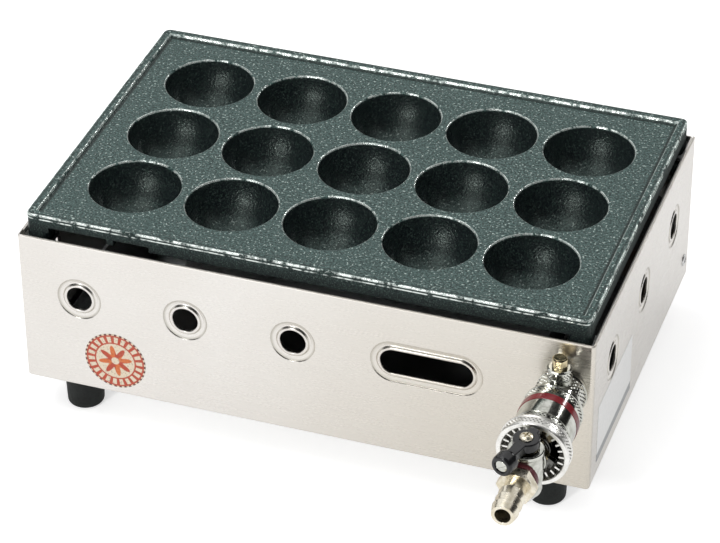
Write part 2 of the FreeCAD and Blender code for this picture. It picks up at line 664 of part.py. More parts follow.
def base_pan():
    """Floor sheet with turned-up edges, lying on the casing's flange."""
    body = new_body("base_pan")
    front, back = "(sheet + pan_gap)", "(casing_depth - sheet - pan_gap)"
    outline = new_sketch(body, "XY_Plane")
    draw_rectangle(outline, f"-{PAN_X}", front, PAN_X, back)
    pad(body, outline, "pan_edge")
    inside = new_sketch(body, "XY_Plane", "pan_edge")
    draw_rectangle(inside, f"-({PAN_X} - sheet)", f"{front} + sheet", f"{PAN_X} - sheet", f"{back} - sheet")
    pocket(body, inside, "pan_edge - sheet")
    for x, y in FOOT_SPOTS.values():
        drill(body, "XY_Plane", 0, x, y, "foot_screw_radius + screw_gap", "2 * sheet", True)
    for x, y in STAND_SPOTS:
        drill(body, "XY_Plane", 0, x, y, "stand_screw_radius + running_gap", "2 * sheet", True)
    place(body, 0, 0, "foot_height + sheet")
    return body


def heat_shield():
    """Hat-section sheet that keeps the flames' heat off the floor."""
    body = new_body("heat_shield")
    half = f"{SHIELD_LENGTH} / 2"
    inside = f"({SHIELD_LENGTH} / 2 - sheet)"
    tip = f"({SHIELD_LENGTH} / 2 + shield_foot)"
    section = new_sketch(body, "XZ_Plane")
    right = [(inside, "shield_height - sheet"), (inside, "0"), (tip, "0"), (tip, "sheet"), (half, "sheet"),
             (half, "shield_height")]
    left = [(f"-({x})", z) for x, z in reversed(right)]
    draw_polygon(section, right + left)
    pad(body, section, SHIELD_WIDTH)
    place(body, 0, f"(casing_depth + {SHIELD_WIDTH}) / 2", FLOOR_TOP)
    return body


def plate_bracket(name, side, rear):
    """Corner shelf for one leg of the plate, spot-welded to the side wall or the back panel's flange."""
    body = new_body(name)
    section = new_sketch(body, "XZ_Plane")
    draw_polygon(section, [
        ("0", "0"), ("0", "-bracket_drop"), (f"-{side} * bracket_thickness", "-bracket_drop"),
        (f"-{side} * bracket_thickness", "-bracket_thickness"), (f"-{side} * bracket_side", "-bracket_thickness"),
        (f"-{side} * bracket_side", "0"),
    ])
    pad(body, section, "bracket_side")
    if rear:
        place(body, f"{side} * ({INNER_X} - pan_gap / 3 - sheet)", "casing_depth - sheet", SHELF_Z)
    else:
        place(body, f"{side} * {INNER_X}", "sheet + bracket_side", SHELF_Z)
    return body


# ---------------------------------------------------------------- feet and fasteners
def rubber_foot(name, spot):
    hole = "foot_screw_radius + running_gap"
    body = turned(name, [
        ("foot_recess_radius", "0"), ("foot_radius - foot_taper", "0"), ("foot_radius", "foot_height"),
        (hole, "foot_height"), (hole, "foot_recess_depth"), ("foot_recess_radius", "foot_recess_depth"),
    ])
    rim = value("foot_radius - foot_taper")
    round_edges(body, "foot_round", lambda edge: ring_edge(edge, rim, 0))
    place(body, *spot, 0)
    return body


def foot_screws():
    spots = [(x, y, "foot_recess_depth") for x, y in FOOT_SPOTS.values()]
    length = "foot_height - foot_recess_depth + 2 * sheet + nut_height + 1"
    upside_down = FreeCAD.Rotation(AXES["x"], 180)
    return bolts("foot_screws", spots, upside_down, "foot_screw_head", "head_height", "foot_screw_radius", length)


def foot_nuts():
    made = []
    for x, y in FOOT_SPOTS.values():
        nut = bar("foot_nut", lambda sketch: (draw_regular(sketch, 6, "nut_flats"),
                                              draw_circle(sketch, "0", "0", "foot_screw_radius + running_gap")),
                  0, "nut_height")
        place(nut, x, y, FLOOR_TOP)
        made.append(nut)
    group = DOC.addObject("Part::Compound", "foot_nuts")
    group.Links = made
    return group


def back_screws():
    """One screw through each side wall into the back panel's flange."""
    made = []
    for side in (-1, 1):
        turn = FreeCAD.Rotation(AXES["y"], 90 * side)
        spot = [(f"{side} * casing_width / 2", BACK_SCREW_Y, "foot_height + back_screw_up")]
        made.append(bolts(f"back_screw_{'left' if side < 0 else 'right'}", spot, turn, "back_screw_head",
                          "back_screw_height", "back_screw_radius", "2 * sheet + 2"))
    group = DOC.addObject("Part::Compound", "back_screws")
    group.Links = made
    return group


# ---------------------------------------------------------------- burner
ROWS = [f"({GRID_Y} + ({row}) * pit_pitch)" for row in ("-(pit_rows - 1) / 2", "0", "(pit_rows - 1) / 2")]


def tube_circles(sketch, radius):
    for y in ROWS:
        draw_circle(sketch, y, "0", radius)


def burner_casting():
    """Comb burner: a deep manifold along the right side and a slotted tube under each row of pits."""
    body = new_body("burner_casting")
    inlet_z = "(cock_height - tube_height)"
    end = f"({ROWS[-1]} + manifold_past)"
    ends = ((COCK_X, "0"), (COCK_X, inlet_z))
    section = new_sketch(body, "XZ_Plane", "-manifold_start")
    draw_link(section, *ends, "manifold_radius")
    pad(body, section, f"{end} - manifold_start", reverse=True)
    inlet = new_sketch(body, "XZ_Plane", "-inlet_start")
    draw_circle(inlet, COCK_X, inlet_z, "inlet_radius")
    pad(body, inlet, "manifold_start - inlet_start + 4", reverse=True)
    seat = new_sketch(body, "XY_Plane", "-(manifold_radius + pad_drop)")
    draw_rectangle(seat, f"{COCK_X} - pad_width / 2", f"{GRID_Y} - pad_length / 2", f"{COCK_X} + pad_width / 2",
                   f"{GRID_Y} + pad_length / 2")
    pad(body, seat, "manifold_radius / 2 + pad_drop")
    tubes = new_sketch(body, "YZ_Plane", f"-{TUBE_END}")
    tube_circles(tubes, "tube_radius")
    pad(body, tubes, f"{TUBE_END} + {COCK_X}")
    spigots = new_sketch(body, "YZ_Plane", f"-({TUBE_END} + spigot_length)")
    tube_circles(spigots, "spigot_radius")
    pad(body, spigots, "spigot_length + 1")

    wall = "(manifold_radius - manifold_bore)"
    hollow = new_sketch(body, "XZ_Plane", f"-(manifold_start + {wall})")
    draw_link(hollow, *ends, "manifold_bore")
    pocket(body, hollow, f"{end} - manifold_start - 2 * {wall}")
    bores = new_sketch(body, "YZ_Plane", f"-({TUBE_END} - tube_radius + tube_bore)")
    tube_circles(bores, "tube_bore")
    pocket(body, bores, f"{TUBE_END} - tube_radius + tube_bore + {COCK_X}", reverse=True)
    drill(body, "XZ_Plane", "-inlet_start", COCK_X, inlet_z, "neck_radius + running_gap",
          "neck_back - inlet_start + 1")
    drill(body, "XZ_Plane", "-neck_back", COCK_X, inlet_z, "throat_radius", "manifold_radius")
    slots = new_sketch(body, "XY_Plane", "tube_radius + 1")
    for number in range(int(value("flame_slot_count"))):
        x = f"(-(pit_columns - 1) / 2 * pit_pitch + ({number} - (flame_slot_count - 1) / 2) * flame_slot_pitch)"
        draw_rectangle(slots, f"{x} - flame_slot / 2", f"{ROWS[0]} - flame_slot_length / 2",
                       f"{x} + flame_slot / 2", f"{ROWS[0]} + flame_slot_length / 2")
    row = pocket(body, slots, "tube_radius + 1")
    grid_pattern(body, [row], (("X_Axis", "pit_pitch", "pit_columns"), ("Y_Axis", "pit_pitch", "pit_rows")), -1)
    place(body, 0, 0, TUBE_Z)
    return body


STAND_LENGTH = "((pit_rows - 1) * pit_pitch + 2 * stand_margin)"


def burner_stand_left():
    """Angle that holds the closed tube ends by their spigots."""
    body = new_body("burner_stand_left")
    top = "(tube_height - 2 * sheet + spigot_radius + 5)"
    half = "stand_thickness / 2"
    section = new_sketch(body, "XZ_Plane")
    draw_polygon(section, [
        (half, "0"), (half, top), (f"-{half}", top), (f"-{half}", "stand_thickness"),
        (f"-({half} + stand_foot)", "stand_thickness"), (f"-({half} + stand_foot)", "0"),
    ])
    pad(body, section, STAND_LENGTH)
    holes = new_sketch(body, "YZ_Plane", half)
    for number in range(int(value("pit_rows"))):
        draw_circle(holes, f"-(stand_margin + {number} * pit_pitch)", "tube_height - 2 * sheet",
                    "spigot_radius + running_gap")
    pocket(body, holes, "2 * stand_thickness")
    for number in (0, "(pit_rows - 1)"):
        drill(body, "XY_Plane", 0, f"-(stand_thickness + stand_foot) / 2", f"-(stand_margin + {number} * pit_pitch)",
              "stand_screw_radius + running_gap", "2 * stand_thickness", True)
    place(body, f"-{STAND_LEFT_X}", f"{GRID_Y} + {STAND_LENGTH} / 2", FLOOR_TOP)
    return body


def burner_stand_right():
    """Z-shaped stand under the manifold's pad."""
    body = new_body("burner_stand_right")
    top = "(tube_height - 2 * sheet - manifold_radius - pad_drop)"
    section = new_sketch(body, "XZ_Plane")
    draw_polygon(section, [
        ("stand_thickness", "0"), ("stand_thickness", f"{top} - stand_thickness"),
        ("pad_width", f"{top} - stand_thickness"), ("pad_width", top), ("0", top), ("0", "stand_thickness"),
        ("-stand_foot", "stand_thickness"), ("-stand_foot", "0"),
    ])
    pad(body, section, "pad_length")
    drill(body, "XY_Plane", 0, "-stand_foot / 2", "-pad_length / 2", "stand_screw_radius + running_gap",
          "2 * stand_thickness", True)
    place(body, f"{COCK_X} - pad_width / 2", f"{GRID_Y} + pad_length / 2", FLOOR_TOP)
    return body


def stand_screws():
    """Screws through the feet of the burner stands into the floor pan."""
    spots = [(x, y, f"{FLOOR_TOP} + stand_thickness") for x, y in STAND_SPOTS]
    return bolts("stand_screws", spots, None, "stand_screw_head", "head_height",
                 "stand_screw_radius", "stand_thickness + sheet")


# ---------------------------------------------------------------- gas fitting, on its own axis
def wall_collar():
    """Collar whose threaded end passes through the front wall; a boss on top takes the clamp screw."""
    bore = "neck_radius + running_gap"
    body = turned("wall_collar", [
        (bore, "-collar_spigot_length"), ("collar_spigot_radius", "-collar_spigot_length"),
        ("collar_spigot_radius", "0"), ("collar_radius", "0"), ("collar_radius", "collar_front"),
        (bore, "collar_front"),
    ])
    boss = new_sketch(body, "XZ_Plane", f"-{CLAMP_SEAT}")
    draw_circle(boss, "0", "clamp_forward", "collar_boss_radius")
    pad(body, boss, f"{CLAMP_SEAT} - (neck_radius + collar_radius) / 2")
    drill(body, "XZ_Plane", f"-{CLAMP_SEAT}", "0", "clamp_forward", "clamp_shank + running_gap",
          f"{CLAMP_SEAT} - neck_radius / 2", reverse=True)
    place_on_cock(body)
    return body


def collar_nut():
    nut = bar("collar_nut", lambda sketch: (draw_regular(sketch, 6, "collar_nut_flats", "30"),
                                            draw_circle(sketch, "0", "0", "collar_spigot_radius + running_gap")),
              "-(sheet + collar_nut_thickness)", "collar_nut_thickness")
    place_on_cock(nut)
    return nut


def clamp_screw():
    """Hexagon-headed brass screw, upright on the collar, that grips the mixing tube."""
    body = bar("clamp_screw", lambda sketch: draw_regular(sketch, 6, "clamp_flats"), 0, "clamp_head")
    shank = new_sketch(body, "XY_Plane")
    draw_circle(shank, "0", "0", "clamp_shank")
    pad(body, shank, f"{CLAMP_SEAT} - neck_radius - running_gap", reverse=True)
    place(body, COCK_X, "-clamp_forward", f"{COCK_Z} + {CLAMP_SEAT}")
    return body


def mixing_tube():
    """Plated tube: a neck that enters the burner and a wide barrel in front, tapered inside."""
    groove = "(barrel_radius - band_depth)"
    shoulder = "(barrel_radius - shoulder_drop)"
    disc_back = "(barrel_front - disc_thickness)"
    seat = "(disc_radius + running_gap)"
    body = turned("mixing_tube", [
        ("throat_radius", "-neck_back"), ("neck_radius", "-neck_back"), ("neck_radius", "tube_step"),
        (shoulder, "tube_step"), (shoulder, "tube_step + tube_shoulder"),
        ("barrel_radius", "tube_step + tube_shoulder"), ("barrel_radius", "band_start"), (groove, "band_start"),
        (groove, "band_start + band_width"), ("barrel_radius", "band_start + band_width"),
        ("barrel_radius", "barrel_front"), (seat, "barrel_front"), (seat, disc_back),
        ("mouth_radius", disc_back), ("mouth_radius", f"{disc_back} - tube_shoulder"),
        ("throat_radius", "tube_step"),
    ])
    place_on_cock(body)
    return body


def tube_band():
    inner, outer = "barrel_radius - band_depth", "barrel_radius + band_proud"
    body = turned("tube_band", [(inner, "band_start"), (outer, "band_start"), (outer, "band_start + band_width"),
                                (inner, "band_start + band_width")])
    place_on_cock(body)
    return body


def air_windows(body, back, thickness, outer):
    """Cut one air window through a disc and repeat it on the other side."""
    window = new_sketch(body, "XY_Plane", f"{back} + {thickness}")
    draw_sector(window, "window_inner", outer, "window_angle")
    first = pocket(body, window, thickness)
    mirrored(body, [first], "YZ_Plane", -1)


def port_disc():
    """Fixed disc in the mouth of the mixing tube, with two air windows."""
    back = "(barrel_front - disc_thickness)"
    body = bar("port_disc", lambda sketch: (draw_circle(sketch, "0", "0", "disc_radius"),
                                            draw_circle(sketch, "0", "0", "injector_radius + running_gap")),
               back, "disc_thickness")
    air_windows(body, back, "disc_thickness", "window_outer")
    place_on_cock(body)
    return body


def air_shutter():
    """Bell that turns on the injector; its windows open and close those of the port disc."""
    bore = "(injector_radius + running_gap)"
    web = f"({SHUTTER_BACK} + web_thickness)"
    hub = f"({SHUTTER_BACK} + hub_length)"
    body = turned("air_shutter", [
        (bore, SHUTTER_BACK), ("bell_radius", SHUTTER_BACK), ("bell_radius", "bell_front"),
        ("bell_inner", "bell_front"), ("bell_inner", web), ("hub_radius", web), ("hub_radius", hub), (bore, hub),
    ])
    air_windows(body, SHUTTER_BACK, "web_thickness", "bell_inner - sheet")
    place_on_cock(body)
    return body


def injector():
    """Brass nozzle: its tip jets gas into the tube, its shank carries the shutter, its hexagon keeps it on."""
    front = f"({BODY_BACK} + injector_spigot_length)"
    body = turned("injector", [
        ("jet_radius", "injector_tip"), ("3 * jet_radius", "injector_tip"),
        ("injector_radius", "injector_tip + injector_radius"), ("injector_radius", HEX_BACK),
        ("injector_spigot", HEX_BACK), ("injector_spigot", front), ("injector_bore", front),
        ("injector_bore", "injector_tip + injector_radius / 2"), ("jet_radius", "injector_tip + injector_radius / 4"),
    ])
    hexagon = new_sketch(body, "XY_Plane", HEX_BACK)
    draw_regular(hexagon, 6, "injector_flats")
    draw_circle(hexagon, "0", "0", "(injector_bore + injector_spigot) / 2")
    pad(body, hexagon, "injector_hex")
    place_on_cock(body)
    return body


def cock_body():
    """Plated body: a barrel along the gas way and an upright boss for the tapered plug."""
    body = bar("cock_body", lambda sketch: draw_circle(sketch, "0", "0", "body_radius"), BODY_BACK,
               f"body_front - {BODY_BACK}")
    boss = new_sketch(body, "XZ_Plane", "boss_bottom")
    draw_circle(boss, "0", "plug_forward", "boss_radius")
    pad(body, boss, "boss_bottom + boss_top", reverse=True)
    drill(body, "XY_Plane", "body_front", "0", "0", "gas_way", f"body_front - {BODY_BACK}")
    drill(body, "XY_Plane", "body_front", "0", "0", "nipple_spigot + running_gap", "nipple_spigot_length")
    drill(body, "XY_Plane", BODY_BACK, "0", "0", "injector_spigot + running_gap", "injector_spigot_length", True)
    top = new_sketch(body, "XZ_Plane", "-boss_top")
    draw_circle(top, "0", "plug_forward", "plug_top_radius + running_gap")
    bottom = new_sketch(body, "XZ_Plane", "boss_bottom")
    draw_circle(bottom, "0", "plug_forward", "plug_bottom_radius + running_gap")
    loft(body, top, bottom, cut=True)
    place_on_cock(body)
    return body


def marker_ring():
    body = bar("marker_ring", lambda sketch: (draw_circle(sketch, "0", "0", "ring_radius"),
                                              draw_circle(sketch, "0", "0", "nipple_spigot + running_gap")),
               "body_front", "ring_thickness")
    place_on_cock(body)
    return body


def hose_nipple():
    """Hose end: hexagon, plain stem and three barbs that lean towards the tip."""
    back = "(body_front - nipple_spigot_length)"
    stem_front = f"({HEX_FRONT} + stem_length)"
    profile = [("nipple_bore", back), ("nipple_spigot", back), ("nipple_spigot", RING_FRONT),
               ("stem_radius", RING_FRONT)]
    for number in range(3):
        start = f"({stem_front} + {number} * barb_length)"
        profile += [("stem_radius", start), ("barb_radius", start)]
    profile += [("stem_radius", NIPPLE_TIP), ("nipple_bore", NIPPLE_TIP)]
    body = turned("hose_nipple", profile)
    hexagon = new_sketch(body, "XY_Plane", RING_FRONT)
    draw_regular(hexagon, 6, "hex_flats")
    draw_circle(hexagon, "0", "0", "stem_radius - 0.4")
    pad(body, hexagon, "hex_length")
    place_on_cock(body)
    return body


# ---------------------------------------------------------------- plug and lever, upright
def place_on_plug(thing, rotation=None):
    place(thing, COCK_X, "-plug_forward", COCK_Z, rotation)


def cock_plug():
    """Tapered plug with the gas way through it, a square on top and a stud below."""
    body = turned("cock_plug", [
        ("0", "-(boss_bottom + stud_length)"), ("stud_radius", "-(boss_bottom + stud_length)"),
        ("stud_radius", "-boss_bottom"), ("plug_bottom_radius", "-boss_bottom"), ("plug_top_radius", "boss_top"),
        ("0", "boss_top"),
    ])
    square = new_sketch(body, "XY_Plane", "boss_top")
    draw_regular(square, 4, "stem_side", "45")
    pad(body, square, "stem_height")
    drill(body, "XZ_Plane", "plug_top_radius", "0", "0", "gas_way", "2 * plug_top_radius")
    drill(body, "XY_Plane", "boss_top + stem_height", "0", "0", "lever_screw_radius + running_gap",
          "lever_screw_length + running_gap")
    place_on_plug(body)
    return body


WASHER_TOP = "(-(boss_bottom + 2 * running_gap))"


def plug_washer():
    body = bar("plug_washer", lambda sketch: (draw_circle(sketch, "0", "0", "washer_radius"),
                                              draw_circle(sketch, "0", "0", "stud_radius + running_gap")),
               f"{WASHER_TOP} - washer_thickness", "washer_thickness")
    place_on_plug(body)
    return body


def plug_nut():
    body = bar("plug_nut", lambda sketch: (draw_regular(sketch, 6, "plug_nut_flats"),
                                           draw_circle(sketch, "0", "0", "stud_radius + running_gap")),
               f"{WASHER_TOP} - washer_thickness - plug_nut_height", "plug_nut_height")
    place_on_plug(body)
    return body


def lever_rotation():
    return FreeCAD.Rotation(AXES["z"], -value("lever_angle"))


def lever_arm():
    """Lever: a hub on the plug's square and an arm with a short tail, ending in a pin for the knob."""
    body = bar("lever_arm", lambda sketch: draw_circle(sketch, "0", "0", "lever_hub_radius"), LEVER_Y,
               "lever_thickness")
    arm = new_sketch(body, "XY_Plane", LEVER_Y)
    draw_rectangle(arm, "-lever_width / 2", "-lever_reach", "lever_width / 2", "lever_tail")
    pad(body, arm, "lever_thickness")
    pin = new_sketch(body, "XZ_Plane", "lever_reach")
    draw_circle(pin, "0", f"{LEVER_Y} + lever_thickness / 2", "lever_pin")
    pad(body, pin, "lever_pin_length")
    square = new_sketch(body, "XY_Plane", LEVER_Y)
    draw_regular(square, 4, "stem_side + 2 * running_gap", "45 + lever_angle")
    pocket(body, square, "lever_thickness", reverse=True)
    place_on_plug(body, lever_rotation())
    return body


def lever_knob():
    bore = "lever_pin + running_gap"
    body = turned("lever_knob", [
        ("0", "lever_pin_length"), (bore, "lever_pin_length"), (bore, "0"), ("knob_radius", "0"),
        ("knob_radius", "knob_length"), ("knob_recess", "knob_length"),
        ("knob_recess", "knob_length - knob_recess_depth"), ("0", "knob_length - knob_recess_depth"),
    ])
    radius, ends = value("knob_radius"), (0, value("knob_length"))
    round_edges(body, "knob_round", lambda edge: any(ring_edge(edge, radius, end) for end in ends))
    place(body, f"{COCK_X} - sin(lever_angle * 1 deg) * lever_reach",
          "-(plug_forward + cos(lever_angle * 1 deg) * lever_reach)",
          f"{COCK_Z} + {LEVER_Y} + lever_thickness / 2", lever_rotation().multiply(FORWARD))
    return body


def lever_screw():
    spot = [(COCK_X, "-plug_forward", f"{COCK_Z} + {LEVER_Y} + lever_thickness")]
    return bolts("lever_screw", spot, None, "lever_screw_head", "lever_screw_height", "lever_screw_radius",
                 "lever_screw_length")


# ---------------------------------------------------------------- griddle plate
def griddle_plate():
    """One casting: a deck of round pits in a raised rim, a skirt below it and four corner legs."""
    body = new_body("griddle_plate")
    half_x, half_y = f"({PLATE_WIDTH} / 2)", f"({PLATE_DEPTH} / 2)"
    skirt_bottom = "(deck_height - skirt_gap)"
    block = new_sketch(body, "XY_Plane", f"-{skirt_bottom}")
    draw_rectangle(block, f"-{half_x}", f"-{half_y}", half_x, half_y)
    pad(body, block, f"{skirt_bottom} + rim_height")
    tray = new_sketch(body, "XY_Plane", "rim_height")
    draw_rectangle(tray, f"-({half_x} - rim_width)", f"-({half_y} - rim_width)", f"{half_x} - rim_width",
                   f"{half_y} - rim_width")
    pocket(body, tray, "rim_height")
    below = new_sketch(body, "XY_Plane", f"-{skirt_bottom}")
    draw_rectangle(below, f"-({half_x} - skirt_thickness)", f"-({half_y} - skirt_thickness)",
                   f"{half_x} - skirt_thickness", f"{half_y} - skirt_thickness")
    pocket(body, below, f"{skirt_bottom} - deck_thickness", reverse=True)
    legs = new_sketch(body, "XY_Plane", "-(deck_height + leg_reach)")
    for x in ("-1", "1"):
        for y in ("-1", "1"):
            left, right = sorted((f"{x} * {half_x}", f"{x} * ({half_x} - leg_side)"), key=value)
            low, high = sorted((f"{y} * {half_y}", f"{y} * ({half_y} - leg_side)"), key=value)
            draw_rectangle(legs, left, low, right, high)
    pad(body, legs, "deck_height + leg_reach - deck_thickness / 2")
    window = new_sketch(body, "XZ_Plane", half_y)
    post = "window_post_width / 2"
    for left, right in (("0", f"window_post - {post}"), (f"window_post + {post}", "window_length")):
        draw_rectangle(window, f"window_in - {half_x} + {left}", f"-{skirt_bottom}", f"window_in - {half_x} + {right}",
                       "-deck_thickness")
    pocket(body, window, "skirt_thickness")
    side, end = value(half_x), value(half_y)
    round_edges(body, "corner_radius", lambda edge: upright(edge, side, end) or upright(edge, side, -end))

    steps = (("X_Axis", "pit_pitch", "pit_columns"), ("Y_Axis", "pit_pitch", "pit_rows"))
    for margin, top, cut in (("pit_wall", "1 - deck_thickness", False), ("0", "1", True)):
        bowl = new_sketch(body, "XZ_Plane", "(pit_rows - 1) / 2 * pit_pitch")
        bowl.setExpression("AttachmentOffset.Base.x", formula("-(pit_columns - 1) / 2 * pit_pitch"))
        draw_bowl(bowl, f"pit_depth + {margin}", f"pit_radius + {margin}", top)
        grid_pattern(body, [revolve(body, bowl, cut=cut)], steps, -1 if cut else 1)
    place(body, 0, GRID_Y, DECK_Z)
    return body


# ---------------------------------------------------------------- the whole appliance
def build():
    parts = [casing_shell(), back_panel(), base_pan(), heat_shield()]
    for side, side_name in (("1", "right"), ("-1", "left")):
        for rear, row_name in ((False, "front"), (True, "rear")):
            parts.append(plate_bracket(f"plate_bracket_{row_name}_{side_name}", side, rear))
    parts += [rubber_foot(f"rubber_foot_{name}", spot) for name, spot in FOOT_SPOTS.items()]
    parts += [foot_screws(), foot_nuts(), back_screws()]
    parts += [burner_casting(), burner_stand_left(), burner_stand_right(), stand_screws()]
    parts += [wall_collar(), collar_nut(), clamp_screw(), mixing_tube(), tube_band(), port_disc(), air_shutter()]
    parts += [injector(), cock_body(), marker_ring(), hose_nipple()]
    parts += [cock_plug(), plug_washer(), plug_nut(), lever_arm(), lever_knob(), lever_screw()]
    parts.append(griddle_plate())
    return parts


def write(parts):
    """Check the whole document, then write each sub-part to a STEP file named after it."""
    failed = [thing.Name for thing in DOC.Objects if {"Invalid", "Error"} & set(thing.State)]
    if failed:
        raise ValueError(f"failed objects: {failed}")
    for part in parts:
        if part.Shape.isNull() or not part.Shape.isValid():
            raise ValueError(f"bad shape: {part.Label}")
    os.makedirs("parts", exist_ok=True)
    for part in parts:
        part.Shape.exportStep(f"parts/{part.Label}.step")


def main():
    fill_sheet()
    parts = build()
    DOC.recompute()
    write(parts)
    print(f"{len(parts)} sub-parts written")


main()
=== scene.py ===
# %% [markdown]
# # A gas takoyaki maker
#
# The maker is a stainless casing on rubber feet. A cast plate with round pits rests in its open
# top, and a comb burner inside gets its gas through a cock at the front right. The sizes and the
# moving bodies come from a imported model, the frame. This lesson gives each part of it the surface
# and the small forms that the real one has. +Z is up and the front faces -Y.

# %% Load the frame
import bmesh
import bpy
from math import asin, copysign, cos, pi, radians, sin, tan
from mathutils import Matrix, Vector


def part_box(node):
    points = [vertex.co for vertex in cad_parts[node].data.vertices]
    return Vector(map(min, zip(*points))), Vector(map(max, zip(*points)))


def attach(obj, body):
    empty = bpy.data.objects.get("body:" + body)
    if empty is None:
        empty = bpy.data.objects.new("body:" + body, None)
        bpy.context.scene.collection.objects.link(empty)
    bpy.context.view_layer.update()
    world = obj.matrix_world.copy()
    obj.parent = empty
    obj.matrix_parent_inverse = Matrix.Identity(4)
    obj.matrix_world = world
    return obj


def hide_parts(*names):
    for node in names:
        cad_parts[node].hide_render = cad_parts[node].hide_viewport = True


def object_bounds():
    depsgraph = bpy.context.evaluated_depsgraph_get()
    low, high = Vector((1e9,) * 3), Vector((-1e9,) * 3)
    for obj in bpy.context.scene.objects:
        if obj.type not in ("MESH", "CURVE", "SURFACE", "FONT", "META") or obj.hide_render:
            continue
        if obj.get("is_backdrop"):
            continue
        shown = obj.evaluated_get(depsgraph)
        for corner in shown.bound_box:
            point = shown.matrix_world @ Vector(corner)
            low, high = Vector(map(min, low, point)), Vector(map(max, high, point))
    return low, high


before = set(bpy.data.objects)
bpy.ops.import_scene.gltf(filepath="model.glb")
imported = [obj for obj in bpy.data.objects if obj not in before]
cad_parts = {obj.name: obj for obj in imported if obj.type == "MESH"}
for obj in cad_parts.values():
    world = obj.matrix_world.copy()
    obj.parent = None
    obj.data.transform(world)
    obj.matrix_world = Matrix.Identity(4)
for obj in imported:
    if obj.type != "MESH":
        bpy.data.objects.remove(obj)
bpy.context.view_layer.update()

# %% [markdown]
# ## Helpers that every piece uses
#
# Shapes are easier to read in millimetres, so every mesh is drawn in millimetres and scaled to
# metres when it is finished. A mesh can be made from rings of points. Each ring is joined to the
# next by a band of faces: a ring that follows a circle makes a turned part, and one that follows a
# rounded rectangle makes a rim. The corners of an outline are rounded first, because a real edge
# is never quite sharp, and the small round is what catches the light.

# %% Where the parts of the frame are
to_metres, in_millimetres = Matrix.Scale(0.001, 4), Matrix()


def box(node):
    """Lowest and highest corner of a part of the frame, in millimetres."""
    return [corner * 1000 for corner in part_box(node)]


casing_low, casing_high = box("casing_shell")
plate_low, plate_high = box("griddle_plate")
centre_x, front_y = (casing_low.x + casing_high.x) / 2, casing_low.y
casing_half = (casing_high.x - casing_low.x) / 2
plate_x, plate_y = (plate_low.x + plate_high.x) / 2, (plate_low.y + plate_high.y) / 2
plate_half_x, plate_half_y = (plate_high.x - plate_low.x) / 2, (plate_high.y - plate_low.y) / 2
rim_height = 1.7
deck_z = plate_high.z - rim_height
print("casing from", casing_low, "to", casing_high, "and the plate's deck at", round(deck_z, 2))


# %% A mesh from rings of points
def new_object(name, data):
    thing = bpy.data.objects.new(name, data)
    bpy.context.scene.collection.objects.link(thing)
    return thing


def piece_from_sheet(name, sheet):
    mesh = bpy.data.meshes.new(name)
    sheet.to_mesh(mesh)
    sheet.free()
    return new_object(name, mesh)


def ring_at(sheet, height, spots):
    return [sheet.verts.new((x, y, height)) for x, y in spots]


def join_rings(sheet, rings, closed=False):
    """Bands of faces between rings of vertices; a ring of one vertex closes to a point."""
    for near, far in zip(rings, rings[1:] + rings[:1] if closed else rings[1:]):
        count = max(len(near), len(far))
        for step in range(count if count > 1 else 0):
            following = (step + 1) % count
            if len(near) == 1:
                sheet.faces.new((near[0], far[step], far[following]))
            elif len(far) == 1:
                sheet.faces.new((near[step], far[0], near[following]))
            else:
                sheet.faces.new((near[step], far[step], far[following], near[following]))


def close_ends(sheet, rings):
    """Join the rings and close the first and the last with one face each."""
    join_rings(sheet, rings)
    for ring in (rings[0], rings[-1]):
        sheet.faces.new(ring)


def shade(mesh, crease=35):
    """Smooth shading, except at edges that are sharper than crease."""
    mesh.shade_smooth()
    mesh.set_sharp_from_angle(angle=radians(crease))


def finish_mesh(sheet, name, place=None, crease=35, scale=to_metres):
    """Merge points that meet, point every face outwards, and bring the piece to its place."""
    bmesh.ops.remove_doubles(sheet, verts=sheet.verts, dist=1e-3)
    bmesh.ops.dissolve_degenerate(sheet, edges=sheet.edges, dist=1e-4)
    bmesh.ops.recalc_face_normals(sheet, faces=sheet.faces)
    piece = piece_from_sheet(name, sheet)
    piece.data.transform(scale @ (place or Matrix()))
    shade(piece.data, crease)
    return piece


def extruded(name, outline, low, high, place=None, scale=to_metres):
    """A flat outline drawn out along its own Z, closed at both ends."""
    sheet = bmesh.new()
    close_ends(sheet, [ring_at(sheet, height, outline) for height in (low, high)])
    return finish_mesh(sheet, name, place, scale=scale)


def rounded(outline, radius=0.3, steps=4):
    """An outline of (r, z) points with each corner rounded; a third number is that corner's own."""
    made = []
    for number, corner in enumerate(outline):
        here = Vector(corner[:2])
        own = corner[2] if len(corner) > 2 else radius
        before = Vector(outline[number - 1][:2]) - here
        after = Vector(outline[(number + 1) % len(outline)][:2]) - here
        if own <= 0 or min(before.length, after.length) < 1e-6 or before.angle(after) > pi - 0.02:
            made.append(tuple(here))
            continue
        reach = min(own / tan(before.angle(after) / 2), 0.48 * before.length, 0.48 * after.length)
        start, end = here + before.normalized() * reach, here + after.normalized() * reach
        for step in range(steps + 1):
            share = step / steps
            spot = start * (1 - share) ** 2 + here * 2 * share * (1 - share) + end * share ** 2
            made.append(tuple(spot))
    return made


def circle(radius, count, start=0.0, flats=None):
    """Points on a circle, or its middle if it has no size; flats=(count, apothem) planes its sides."""
    spots = []
    for step in range(count if radius > 1e-6 else 0):
        angle, reach = start + 2 * pi * step / count, radius
        if flats:
            half = pi / flats[0]
            reach = min(radius, flats[1] / cos(angle % (2 * half) - half))
        spots.append((reach * cos(angle), reach * sin(angle)))
    return spots or [(0, 0)]


